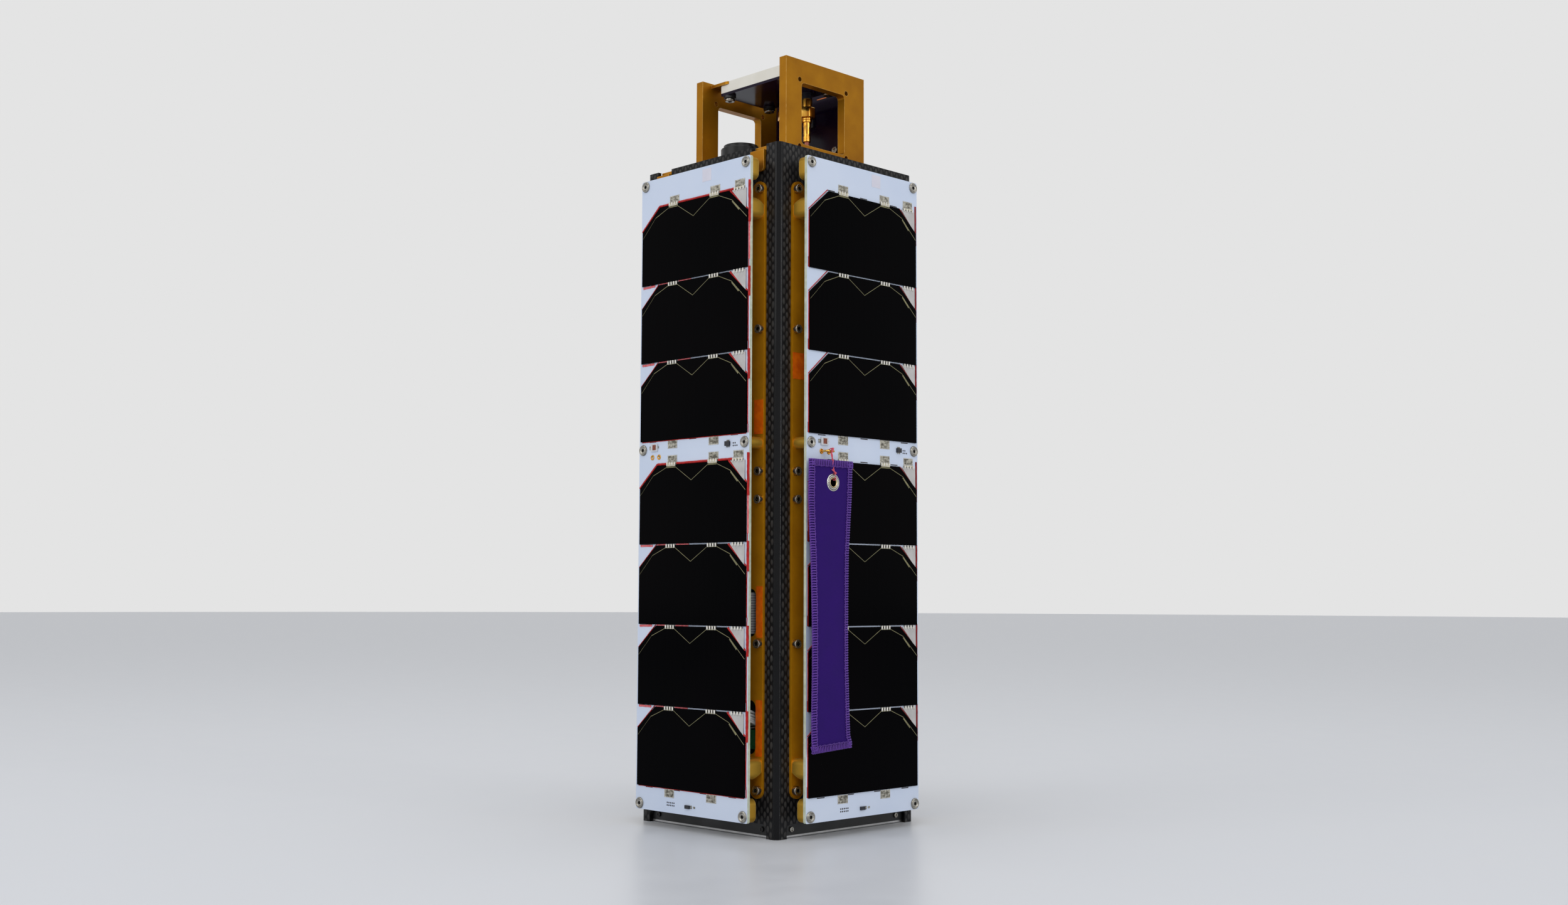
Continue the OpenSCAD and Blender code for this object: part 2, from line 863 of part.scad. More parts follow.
carbon_body();
base_frame();
base_plate();
base_screws();
top_deck();
inner_stack();
inner_posts();
rails(0);  // rails_a
rails(90);  // rails_b
rails(180);  // rails_c
rails(270);  // rails_d
strip_screws();
panel(0);  // panel_a
panel(90);  // panel_b
panel(180);  // panel_c
panel(270);  // panel_d
cells(0);  // cells_a
cells(90);  // cells_b
cells(180);  // cells_c
cells(270);  // cells_d
panel_screws();
harness();
frame_left();
frame_right();
antenna_tile();
antenna_board();
antenna_spacers();
antenna_screws();
rear_board();
lens_mount();
lens_barrel();
lens_glass();
radio_jacks();
radio_plugs();
radio_cables();
link_sockets();
shorting_link();
tag_thread();
tag_eye();
flight_tag();
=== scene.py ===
import json
import math
import random

import bpy
from mathutils import Matrix, Vector

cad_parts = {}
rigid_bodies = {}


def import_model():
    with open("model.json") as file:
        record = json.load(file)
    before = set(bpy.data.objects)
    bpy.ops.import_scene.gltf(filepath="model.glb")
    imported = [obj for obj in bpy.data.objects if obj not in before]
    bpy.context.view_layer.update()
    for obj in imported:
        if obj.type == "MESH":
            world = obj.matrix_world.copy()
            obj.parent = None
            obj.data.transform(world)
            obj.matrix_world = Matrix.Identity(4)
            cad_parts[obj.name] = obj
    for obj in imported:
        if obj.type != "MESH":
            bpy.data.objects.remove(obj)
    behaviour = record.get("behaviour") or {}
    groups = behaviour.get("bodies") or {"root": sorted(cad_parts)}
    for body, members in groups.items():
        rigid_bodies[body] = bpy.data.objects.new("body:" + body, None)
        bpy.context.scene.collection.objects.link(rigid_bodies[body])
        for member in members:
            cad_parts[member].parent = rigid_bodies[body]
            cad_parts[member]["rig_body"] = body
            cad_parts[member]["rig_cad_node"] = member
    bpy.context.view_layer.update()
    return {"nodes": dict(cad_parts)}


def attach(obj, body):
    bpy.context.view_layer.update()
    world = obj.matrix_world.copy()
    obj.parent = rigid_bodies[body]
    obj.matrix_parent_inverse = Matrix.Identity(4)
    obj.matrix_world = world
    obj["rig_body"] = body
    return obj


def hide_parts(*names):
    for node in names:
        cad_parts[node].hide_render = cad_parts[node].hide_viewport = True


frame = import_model()
nodes = frame["nodes"]
mm = 0.001
faceTurns = {"a": 0, "b": 90, "c": 180, "d": 270}  # each face is the first one, turned about Z
dice = random.Random(11)


# camera, floor and light
camera = {"lens": 38.366, "place": (0.625865, -0.618946, 0.117992), "yaw": 0.787733, "pitch": 0.0835883, "roll": 0.0034422}


def makeCamera(s):
    yaw, pitch, roll = s["yaw"], s["pitch"], s["roll"]
    ahead = Vector((-math.sin(yaw) * math.cos(pitch), math.cos(yaw) * math.cos(pitch), math.sin(pitch)))
    flat = Vector((math.cos(yaw), math.sin(yaw), 0))
    up = flat.cross(ahead)
    right = flat * math.cos(roll) + up * math.sin(roll)
    up = up * math.cos(roll) - flat * math.sin(roll)
    data = bpy.data.cameras.new("photoCamera")
    data.lens, data.sensor_width, data.sensor_fit = s["lens"], 36, "HORIZONTAL"
    data.clip_start, data.clip_end = 0.01, 50
    o = bpy.data.objects.new("photoCamera", data)
    bpy.context.scene.collection.objects.link(o)
    turn = Matrix((right, up, -ahead)).transposed().to_4x4()
    o.matrix_world = Matrix.Translation(s["place"]) @ turn
    bpy.context.scene.camera = o


# small tools
def linear(r, g, b):  # a colour as it is read off the photo, 0 to 255
    out = [c / 12.92 if c <= 0.04045 else ((c + 0.055) / 1.055) ** 2.4 for c in (r / 255, g / 255, b / 255)]
    return (*out, 1)


def selectNothing():
    if bpy.context.object and bpy.context.object.mode != "OBJECT":
        bpy.ops.object.mode_set(mode="OBJECT")
    bpy.ops.object.select_all(action="DESELECT")


def pick(*objs):
    selectNothing()
    for o in objs:
        o.select_set(True)
    bpy.context.view_layer.objects.active = objs[0]


def applied(o, kind, **values):
    m = o.modifiers.new(kind.lower(), kind)
    for key, value in values.items():
        setattr(m, key, value)
    pick(o)
    bpy.ops.object.modifier_apply(modifier=m.name)
    return o


def soften(o, width, segments=2, angle=30):
    return applied(o, "BEVEL", width=width * mm, segments=segments, limit_method="ANGLE", angle_limit=math.radians(angle))


def smooth(o, angle=35):
    pick(o)
    bpy.ops.object.shade_smooth_by_angle(angle=math.radians(angle))
    return o


def named(name):
    o = bpy.context.object
    o.name = o.data.name = name
    return o


def settle(o):
    pick(o)
    bpy.ops.object.transform_apply(location=True, rotation=True, scale=True)
    return o


def block(name, low, high):
    selectNothing()
    centre = [(p + q) / 2 * mm for p, q in zip(low, high)]
    bpy.ops.mesh.primitive_cube_add(size=1, location=centre, scale=[(q - p) * mm for p, q in zip(low, high)])
    return settle(named(name))


def gridSheet(name, across, along, width, height):
    selectNothing()
    bpy.ops.mesh.primitive_grid_add(x_subdivisions=across, y_subdivisions=along, size=1, location=(0, 0, 0))
    o = named(name)
    o.scale = (width * mm, height * mm, 1)
    return settle(o)


def rod(name, radius, low, high, sides=32, spot=(0, 0)):
    selectNothing()
    bpy.ops.mesh.primitive_cylinder_add(vertices=sides, radius=radius * mm, depth=(high - low) * mm,
                                        location=(spot[0] * mm, spot[1] * mm, (low + high) / 2 * mm))
    return settle(named(name))


def flatCurve(name, points, closed, threeD=False):
    data = bpy.data.curves.new(name, "CURVE")
    data.dimensions = "3D" if threeD else "2D"
    line = data.splines.new("POLY")
    line.points.add(len(points) - 1)
    for target, p in zip(line.points, points):
        target.co = (p[0] * mm, p[1] * mm, (p[2] if len(p) > 2 else 0) * mm, 1)
    line.use_cyclic_u = closed
    o = bpy.data.objects.new(name, data)
    bpy.context.scene.collection.objects.link(o)
    return o


def asMesh(o, name):
    pick(o)
    bpy.ops.object.convert(target="MESH")
    return named(name)


def plate(name, outline, low, high, edge=0):  # outline on the bench, low and high above it
    o = flatCurve(name, outline, True)
    o.data.fill_mode = "BOTH"
    o.data.bevel_depth = edge * mm
    o.data.offset = -edge * mm
    o.data.extrude = ((high - low) / 2 - edge) * mm
    o.location.z = (low + high) / 2 * mm
    return settle(asMesh(o, name))


def tube(name, points, radius, sides=3):  # still a curve, with a round section
    o = flatCurve(name, points, False, True)
    o.data.bevel_depth, o.data.bevel_resolution, o.data.use_fill_caps = radius * mm, sides, True
    return o


def bead(name, points, width, height, base, sides=1):  # a line of solder, glue or metal, flat below
    o = asMesh(tube(name, points, width / 2, sides), name)
    o.scale.z = height / (width / 2)
    o.location.z = base * mm
    return settle(o)


def turned(name, profile, spot=(0, 0, 0), steps=32):  # profile of (radius, height), spun round Z
    o = asMesh(flatCurve(name, [(r, 0, z) for r, z in profile], False, True), name)
    bpy.ops.object.mode_set(mode="EDIT")
    bpy.ops.mesh.select_all(action="SELECT")
    bpy.ops.mesh.spin(steps=steps, angle=2 * math.pi, center=(0, 0, 0), axis=(0, 0, 1))
    bpy.ops.mesh.select_all(action="SELECT")
    bpy.ops.mesh.remove_doubles(threshold=1e-6)
    bpy.ops.mesh.normals_make_consistent(inside=False)
    bpy.ops.object.mode_set(mode="OBJECT")
    o.data.transform(Matrix.Translation([v * mm for v in spot]))
    return o


def carved(o, tool):
    applied(o, "BOOLEAN", object=tool, operation="DIFFERENCE", solver="EXACT")
    bpy.data.objects.remove(tool)
    return o


def joined(name, parts):
    pick(*parts)
    if len(parts) > 1:
        bpy.ops.object.join()
    return named(name)


def copied(o, name, place=None):
    c = o.copy()
    c.data = o.data.copy()
    bpy.context.scene.collection.objects.link(c)
    c.name = c.data.name = name
    if place is not None:
        c.data.transform(place)
    return c


def repeated(name, source, places):  # modelled once and copied, each copy with its own mesh
    copies = [copied(source, name, place) for place in places]
    bpy.data.objects.remove(source)
    return joined(name, copies)


def standing(face):  # from the bench, x along the face, y up, z out of it, to its place on the body
    return Matrix.Rotation(math.radians(faceTurns[face]), 4, "Z") @ Matrix.Rotation(math.pi / 2, 4, "X")


def at(x, y, z=0):
    return Matrix.Translation((x * mm, y * mm, z * mm))


def dress(o, paint, body="satellite", replaces=()):
    o.data.materials.clear()
    o.data.materials.append(paints[paint])
    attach(o, body)
    if replaces:
        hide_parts(*replaces)
    return o


def onFaces(o, name, paint, faces="abcd"):  # copies a bench piece to the faces that have it
    for face in faces:
        dress(copied(o, name + face.upper(), standing(face)), paint)
    bpy.data.objects.remove(o)


def mergedCopy(node, name, width):  # the solid itself with broken edges
    o = copied(nodes[node], name)
    o.parent = None
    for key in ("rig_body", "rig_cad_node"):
        if key in o:
            del o[key]
    pick(o)
    bpy.ops.object.mode_set(mode="EDIT")
    bpy.ops.mesh.select_all(action="SELECT")
    bpy.ops.mesh.remove_doubles(threshold=1e-6)
    bpy.ops.mesh.dissolve_limited(angle_limit=math.radians(0.4), delimit=set())
    bpy.ops.object.mode_set(mode="OBJECT")
    smooth(soften(o, width))
    return applied(o, "WEIGHTED_NORMAL", keep_sharp=True, weight=80)


# shader tools
def put(nt, kind, links=None, **values):
    n = nt.nodes.new(kind)
    for key, value in values.items():
        setattr(n, key, value)
    for key, value in (links or {}).items():
        if isinstance(value, bpy.types.NodeSocket):
            nt.links.new(value, n.inputs[key])
        else:
            n.inputs[key].default_value = value
    return n


def sums(nt, way, a, b=0.0, clamp=False):
    return put(nt, "ShaderNodeMath", {0: a, 1: b}, operation=way, use_clamp=clamp).outputs[0]


def times(nt, first, *others):
    for other in others:
        first = sums(nt, "MULTIPLY", first, other)
    return first


def plus(nt, first, *others):
    for other in others:
        first = sums(nt, "ADD", first, other)
    return first


def blendOf(nt, share, a, b):
    return put(nt, "ShaderNodeMix", {0: share, 6: a, 7: b}, data_type="RGBA").outputs[2]


def ranged(nt, value, low, high, toLow=0.0, toHigh=1.0):
    return put(nt, "ShaderNodeMapRange", {0: value, 1: low, 2: high, 3: toLow, 4: toHigh}).outputs[0]


def patchy(nt, noise, toLow=0.0, toHigh=1.0):  # the middle of a noise, spread out
    return ranged(nt, noise, 0.3, 0.7, toLow, toHigh)


def ridges(nt, way, turn):
    return ranged(nt, sums(nt, "SINE", times(nt, way, turn)), -1.0, 1.0)


def objectPlace(nt):
    return put(nt, "ShaderNodeTexCoord").outputs["Object"]


def splitOf(nt, vector):
    return put(nt, "ShaderNodeSeparateXYZ", {0: vector}).outputs


def noiseOf(nt, where, scale, detail=3.0):
    return put(nt, "ShaderNodeTexNoise", {"Vector": where, "Scale": scale, "Detail": detail}).outputs["Fac"]


def sideways(nt):  # the distances from the two upright planes through the middle
    return [sums(nt, "ABSOLUTE", way) for way in splitOf(nt, objectPlace(nt))[:2]]


def acrossFace(nt):  # the way along the wall that the point lies in
    x, y = splitOf(nt, objectPlace(nt))[:2]
    onSide = sums(nt, "GREATER_THAN", *sideways(nt))
    return put(nt, "ShaderNodeMix", {0: onSide, 2: x, 3: y}, data_type="FLOAT").outputs[0]


def newGroup(name, ins, outs):
    g = bpy.data.node_groups.new(name, "ShaderNodeTree")
    for label, value in ins:
        g.interface.new_socket(label, in_out="INPUT", socket_type="NodeSocketFloat").default_value = value
    for label in outs:
        g.interface.new_socket(label, in_out="OUTPUT", socket_type="NodeSocketFloat")
    return g, g.nodes.new("NodeGroupInput").outputs, g.nodes.new("NodeGroupOutput").inputs


def useGroup(nt, name, **values):
    n = nt.nodes.new("ShaderNodeGroup")
    n.node_tree = bpy.data.node_groups[name]
    for key, value in values.items():
        n.inputs[key].default_value = value
    return n.outputs


def makeGroups():
    # two sizes of unevenness in one surface
    g, i, o = newGroup("surfaceGrain", [("Coarse", 60.0), ("Fine", 2500.0)], ["Patches", "Grain"])
    where = objectPlace(g)
    g.links.new(noiseOf(g, where, i["Coarse"], 4.0), o["Patches"])
    g.links.new(noiseOf(g, where, i["Fine"], 2.0), o["Grain"])
    # rubbed edges with a painted edge highlight, from the angle between the real and a rounded normal
    g, i, o = newGroup("edgeWearAndHighlight", [("Width", 0.0004), ("Amount", 6.0)], ["Mask"])
    rounded = put(g, "ShaderNodeBevel", {"Radius": i["Width"]}, samples=4).outputs[0]
    real = put(g, "ShaderNodeNewGeometry").outputs["Normal"]
    facing = put(g, "ShaderNodeVectorMath", {0: rounded, 1: real}, operation="DOT_PRODUCT").outputs["Value"]
    mask = sums(g, "MULTIPLY", sums(g, "SUBTRACT", 1.0, facing), i["Amount"], True)
    spots = ranged(g, noiseOf(g, objectPlace(g), 700.0), 0.35, 0.6, 0.3, 1.0)
    g.links.new(sums(g, "MULTIPLY", mask, spots, True), o["Mask"])
    # oval floats of the warp in staggered columns
    g, i, o = newGroup("towWeave", [("Pitch", 0.00205), ("Spacing", 0.00466)], ["Tow", "Height", "Corner", "Column"])
    z = splitOf(g, objectPlace(g))[2]
    wobble = patchy(g, noiseOf(g, objectPlace(g), 160.0, 1.0), -0.12, 0.12)
    column = plus(g, sums(g, "DIVIDE", acrossFace(g), i["Pitch"]), times(g, wobble, 0.6))
    shift = sums(g, "FRACT", times(g, sums(g, "FLOOR", column), 0.5))
    row = plus(g, sums(g, "DIVIDE", z, i["Spacing"]), shift, wobble)
    across, down = [sums(g, "DIVIDE", sums(g, "SUBTRACT", sums(g, "FRACT", way), 0.5), reach)
                    for way, reach in ((column, 0.46), (row, 0.38))]
    oval = sums(g, "SQRT", plus(g, times(g, across, across), times(g, down, down)))
    g.links.new(ranged(g, oval, 0.72, 1.04, 1.0, 0.0), o["Tow"])
    g.links.new(ranged(g, times(g, oval, oval), 0.0, 1.1, 1.0, 0.0), o["Height"])
    g.links.new(ranged(g, sums(g, "MINIMUM", *sideways(g)), 0.0470, 0.0474), o["Corner"])
    g.links.new(sums(g, "FRACT", row), o["Column"])
    # slanted ribs of a twill, in the plane of the cloth
    g, i, o = newGroup("twillRibs", [("Pitch", 0.0008)], ["Rib", "Yarn"])
    y, z = splitOf(g, objectPlace(g))[1:]
    turn = sums(g, "DIVIDE", 2 * math.pi, i["Pitch"])
    g.links.new(ridges(g, plus(g, times(g, y, 0.8), z), turn), o["Rib"])
    g.links.new(ridges(g, sums(g, "SUBTRACT", z, y), times(g, turn, 1.7)), o["Yarn"])
    # strands wound along a cord
    g, i, o = newGroup("woundStrands", [("Pitch", 0.0006)], ["Strand"])
    x, y, z = splitOf(g, objectPlace(g))
    turn = sums(g, "DIVIDE", 2 * math.pi, i["Pitch"])
    g.links.new(ridges(g, plus(g, z, times(g, y, 0.9), times(g, x, 0.7)), turn), o["Strand"])


finishes = {  # light and dark colour, roughness from smooth to rough, bump, then what else differs
    "goldAnodised": ((172, 116, 12), (150, 97, 5), (0.32, 0.44), 0.25, {"metallic": 0.66, "specular": 0.2, "wearAndHighlight": (236, 196, 120)}),
    "deckGold": ((182, 122, 14), (156, 100, 6), (0.34, 0.46), 0.25, {"metallic": 0.66, "specular": 0.2, "wearAndHighlight": (236, 196, 120)}),
    "goldPlate": ((238, 190, 92), (214, 150, 50), (0.12, 0.24), 0.15, {"metallic": 1, "coarse": 300}),
    "screwSteel": ((166, 163, 154), (116, 112, 104), (0.2, 0.34), 0.2, {"metallic": 1, "coarse": 500, "wearAndHighlight": (232, 230, 224)}),
    "screwDark": ((186, 176, 164), (122, 112, 102), (0.2, 0.34), 0.2, {"metallic": 1, "coarse": 500, "wearAndHighlight": (222, 220, 214)}),
    "bareAluminium": ((206, 206, 206), (176, 176, 178), (0.3, 0.45), 0.3, {"metallic": 1, "coarse": 120}),
    "blackPlate": ((21, 21, 23), (12, 12, 13), (0.38, 0.55), 0.3, {"wearAndHighlight": (66, 60, 52)}),
    "lensBlack": ((15, 15, 17), (8, 8, 9), (0.24, 0.36), 0.2, {"specular": 0.3, "wearAndHighlight": (80, 80, 82)}),
    # painted shade for the bottoms of the screw sockets
    "socketShade": ((16, 15, 14), (8, 8, 8), (0.5, 0.6), 0.1, {"specular": 0.1}),
    "chipBlack": ((34, 35, 44), (20, 20, 28), (0.3, 0.45), 0.2, {"coarse": 900}),
    "stackGreen": ((52, 66, 56), (34, 44, 38), (0.5, 0.7), 0.3),
    "boardPatch": ((52, 138, 84), (34, 100, 60), (0.25, 0.4), 0.2, {"coarse": 700}),
    "tileWhite": ((238, 234, 222), (228, 223, 208), (0.42, 0.55), 0.25),
    "diodeGrey": ((206, 203, 200), (184, 181, 178), (0.3, 0.45), 0.2, {"coarse": 160, "metallic": 0.2}),
    "siliconeRed": ((196, 30, 28), (156, 14, 15), (0.26, 0.4), 0.5, {"specular": 0.25, "coarse": 500, "fine": 1200}),
    "siliconeDark": ((150, 22, 22), (112, 10, 12), (0.26, 0.4), 0.5, {"specular": 0.25, "coarse": 500, "fine": 1200}),
    "siliconeSmear": ((238, 132, 136), (214, 70, 76), (0.35, 0.5), 0.5, {"coarse": 700, "fine": 1500}),
    "printBlack": ((36, 24, 28), (22, 14, 18), (0.4, 0.5), 0.1),
    "busGold": ((144, 138, 98), (106, 102, 70), (0.3, 0.42), 0.1, {"metallic": 0.3, "coarse": 300}),
    "tabSilver": ((244, 240, 230), (220, 214, 200), (0.25, 0.4), 0.3, {"metallic": 0.1, "coarse": 900}),
    "tabBase": ((214, 207, 180), (180, 172, 142), (0.3, 0.42), 0.2, {"metallic": 0.2, "coarse": 700}),
    "labelPaper": ((226, 224, 234), (218, 216, 228), (0.5, 0.6), 0.2),
    "sensorCeramic": ((216, 218, 220), (200, 202, 206), (0.3, 0.4), 0.15, {"coarse": 800}),
    "sensorWindow": ((150, 66, 40), (96, 44, 20), (0.1, 0.2), 0.1, {"coarse": 1200}),
    "wireWhite": ((226, 226, 224), (196, 196, 194), (0.35, 0.5), 0.2, {"coarse": 300}),
    "coaxCopper": ((190, 116, 92), (146, 80, 62), (0.35, 0.5), 0.4, {"coarse": 600, "metallic": 0.4}),
    "copperTrace": ((206, 116, 60), (170, 84, 40), (0.25, 0.35), 0.1, {"metallic": 0.6}),
    "filmAmber": ((250, 118, 2), (224, 92, 0), (0.12, 0.25), 0.8, {"coarse": 260, "fine": 500}),
}


def blankFinish(name):
    paint = bpy.data.materials.new(name)
    paint.use_nodes = True
    return paint, paint.node_tree


def grainOf(nt, coarse, fine=2600):
    grain = useGroup(nt, "surfaceGrain", Coarse=coarse, Fine=fine)
    return grain["Patches"], grain["Grain"]


def toneOf(nt, share, s, dark="dark", light="light"):
    return blendOf(nt, share, linear(*s[dark]), linear(*s[light]))


def covered(paint, colour, rough, bump=None, fixed=None):  # bump is its strength, depth and height
    nt = paint.node_tree
    shader = nt.nodes["Principled BSDF"]
    nt.links.new(colour, shader.inputs["Base Color"])
    nt.links.new(rough, shader.inputs["Roughness"])
    if bump:
        normal = put(nt, "ShaderNodeBump", dict(zip(("Strength", "Distance", "Height"), bump))).outputs[0]
        nt.links.new(normal, shader.inputs["Normal"])
    for label, value in (fixed or {}).items():
        shader.inputs[label].default_value = value
    return paint


def makeFinish(name, light, dark, rough, bump, more={}):
    paint, nt = blankFinish(name)
    patches, fine = grainOf(nt, more.get("coarse", 70), more.get("fine", 2600))
    colour = blendOf(nt, patchy(nt, patches), linear(*dark), linear(*light))
    # edges are painted lighter: partly wear, partly a painted edge highlight
    if "wearAndHighlight" in more:
        colour = blendOf(nt, useGroup(nt, "edgeWearAndHighlight", Width=0.0004, Amount=5.0)["Mask"], colour, linear(*more["wearAndHighlight"]))
    return covered(paint, colour, patchy(nt, patches, rough[1], rough[0]), (bump, 0.00003, fine),
                   {"Metallic": more.get("metallic", 0), "Specular IOR Level": more.get("specular", 0.5)})


# one gold painted in two copies by where light falls: the strips brighter and more orange as painted light against
# their shade, the blocks and arms paler as a painted reflection of the pale room
def makeRailGold(s):  # the strips lie deep between the panels, the blocks and arms catch more of the pale room
    paint, nt = blankFinish("railGold")
    out = sums(nt, "MAXIMUM", *sideways(nt))
    patches, fine = grainOf(nt, 70)
    stripLitGold, blockReflectGold = [toneOf(nt, patchy(nt, patches), s, *pair) for pair in (("dark", "light"), ("blockReflectDark", "blockReflectLight"))]
    skin = blendOf(nt, ranged(nt, out, s["strip"], s["strip"] + 0.00007), stripLitGold, blockReflectGold)
    # the blocks' and arms' edges are painted lighter: partly wear, partly a painted edge highlight
    rubbedAndLitEdges = useGroup(nt, "edgeWearAndHighlight", Width=0.0004, Amount=5.0)["Mask"]
    wearAndHighlight = times(nt, rubbedAndLitEdges, ranged(nt, out, s["strip"] + 0.0006, s["strip"] + 0.002))
    return covered(paint, blendOf(nt, wearAndHighlight, skin, linear(*s["wearAndHighlight"])), patchy(nt, patches, 0.44, 0.32), (0.3, 0.00003, fine),
                   {"Metallic": 0.6, "Specular IOR Level": 0.3})


def makeBoardWhite(s):
    paint, nt = blankFinish("boardWhite")
    front = ranged(nt, sums(nt, "MAXIMUM", *sideways(nt)), s["front"] - 0.00006, s["front"] - 0.00003)
    patches, fine = grainOf(nt, 18, 3000)
    skin = toneOf(nt, ranged(nt, patches, 0.35, 0.65), s)
    side = toneOf(nt, patchy(nt, noiseOf(nt, objectPlace(nt), 400.0)), s, "edgeDark", "edge")
    return covered(paint, blendOf(nt, front, side, skin), patchy(nt, patches, 0.34, 0.44), (0.12, 0.00003, fine))


def makeCarbon(s):
    paint, nt = blankFinish("carbonWeave")
    weave = useGroup(nt, "towWeave", Pitch=s["pitch"], Spacing=s["spacing"])
    patches, fine = grainOf(nt, s["coarse"])
    plain = sums(nt, "SUBTRACT", 1.0, weave["Corner"])
    # each tow is painted lighter towards its top as a painted highlight, times a random tone
    towToneAndTopHighlight = times(nt, patchy(nt, patches, 0.35, 1.0), ranged(nt, weave["Column"], 0.2, 0.8, 0.6, 1.0))
    tow = times(nt, weave["Tow"], plain, towToneAndTopHighlight)
    rough = sums(nt, "SUBTRACT", ranged(nt, tow, 0.0, 1.0, 0.42, 0.26), times(nt, weave["Corner"], 0.3))
    height = plus(nt, times(nt, weave["Height"], plain), times(nt, fine, 0.15))
    return covered(paint, toneOf(nt, tow, s), rough, (0.35, 0.00012, height), {"Specular IOR Level": 0.16})


def makeCellGlass(s):
    paint, nt = blankFinish("cellGlass")
    lines = ranged(nt, sums(nt, "SINE", times(nt, acrossFace(nt), 2 * math.pi / s["pitch"])), 0.9, 1.0, 0.0, 0.5)
    hue = ranged(nt, noiseOf(nt, objectPlace(nt), 14.0, 1.0), 0.35, 0.65)
    rough = ranged(nt, lines, 0.0, 0.5, s["rough"], s["rough"] + 0.1)
    dust = noiseOf(nt, objectPlace(nt), 900.0)
    return covered(paint, blendOf(nt, lines, toneOf(nt, hue, s), linear(*s["line"])), rough, (0.03, 0.00002, dust),
                   {"Specular IOR Level": s["specular"]})


def makeSolder(s):
    paint, nt = blankFinish("solderSilver")
    where = objectPlace(nt)
    lumps = noiseOf(nt, where, 620.0, 3.0)
    streak = noiseOf(nt, put(nt, "ShaderNodeMapping", {0: where, 3: (1, 1, 3)}).outputs[0], 500.0, 2.0)
    tone = ranged(nt, plus(nt, times(nt, lumps, 0.6), times(nt, streak, 0.4)), 0.42, 0.6)
    return covered(paint, toneOf(nt, tone, s), ranged(nt, tone, 0.0, 1.0, 0.4, 0.22), (0.9, 0.0001, lumps), {"Metallic": 0.8})


def makePurpleBoard(s):
    paint, nt = blankFinish("boardPurple")
    patches, fine = grainOf(nt, 45)
    tone = ranged(nt, patches, 0.35, 0.65)
    return covered(paint, toneOf(nt, tone, s), ranged(nt, tone, 0.0, 1.0, 0.12, 0.2), (0.1, 0.00003, fine),
                   {"Specular IOR Level": 0.16})


def makeCloth(name, s):
    paint, nt = blankFinish(name)
    ribs = useGroup(nt, "twillRibs", Pitch=s["pitch"])
    patches, fine = grainOf(nt, 90, 5200)
    tone = plus(nt, times(nt, ribs["Rib"], 0.55), times(nt, patches, 0.45))
    height = plus(nt, ribs["Rib"], times(nt, ribs["Yarn"], 0.4), times(nt, fine, 0.5))
    return covered(paint, toneOf(nt, ranged(nt, tone, 0.2, 0.75), s), patchy(nt, patches, 0.62, 0.78), (s["bump"], 0.00012, height),
                   {"Sheen Weight": s["sheen"], "Sheen Roughness": 0.4, "Specular IOR Level": 0.06})


def makeYarn(name, s):
    paint, nt = blankFinish(name)
    strand = useGroup(nt, "woundStrands", Pitch=s["pitch"])["Strand"]
    patches, fine = grainOf(nt, 220, 5200)
    tone = plus(nt, times(nt, strand, 0.5), times(nt, patches, 0.5))
    height = plus(nt, strand, times(nt, fine, 0.4))
    return covered(paint, toneOf(nt, ranged(nt, tone, 0.2, 0.75), s), ranged(nt, strand, 0.0, 1.0, 0.6, 0.45), (0.6, 0.0001, height),
                   {"Sheen Weight": s["sheen"], "Specular IOR Level": 0.3})


def makeGrommetNickel(s):
    paint, nt = blankFinish("grommetNickel")
    dy, dz = [sums(nt, "SUBTRACT", way, middle * mm) for way, middle in zip(splitOf(nt, objectPlace(nt))[1:], s["centre"])]
    away = sums(nt, "SQRT", plus(nt, times(nt, dy, dy), times(nt, dz, dz)))
    # the two dark rings are painted shade in the creases of the rolled rim
    rings = []
    for radius, blockReflectGold, far in s["rings"]:
        off = sums(nt, "ABSOLUTE", sums(nt, "SUBTRACT", away, radius * mm))
        rings.append(sums(nt, "SUBTRACT", 1.0, ranged(nt, off, blockReflectGold, far)))
    second = s["rings"][1][0] * mm
    patches = grainOf(nt, 400)[0]
    skin = blendOf(nt, ranged(nt, away, second - 0.0003, second, 1.0, 0.0), toneOf(nt, patchy(nt, patches), s), linear(*s["lip"]))
    colour = blendOf(nt, times(nt, sums(nt, "MAXIMUM", *rings), 0.85), skin, linear(*s["shade"]))
    return covered(paint, colour, patchy(nt, patches, 0.22, 0.12), None, {"Metallic": 1})


def makeLensCoat(s):
    paint, nt = blankFinish("lensCoated")
    ring = ranged(nt, noiseOf(nt, objectPlace(nt), 120.0, 1.0), 0.35, 0.65)
    return covered(paint, toneOf(nt, ring, s), ranged(nt, ring, 0.0, 1.0, 0.03, 0.07), None, {"Coat Weight": 1, "Coat Roughness": 0.02})


def makeRibbonGrey(s):
    paint, nt = blankFinish("ribbonGrey")
    ridge = ridges(nt, splitOf(nt, objectPlace(nt))[2], 2 * math.pi / s["pitch"])
    return covered(paint, toneOf(nt, ridge, s), ranged(nt, ridge, 0.0, 1.0, 0.5, 0.36), (0.8, 0.0003, ridge))


makeCamera(camera)
makeGroups()
paints = {name: makeFinish(name, *s) for name, s in finishes.items()}
paints["carbonWeave"] = makeCarbon({"pitch": 0.00205, "spacing": 0.00466, "coarse": 140, "dark": (15, 15, 17), "light": (74, 72, 70)})
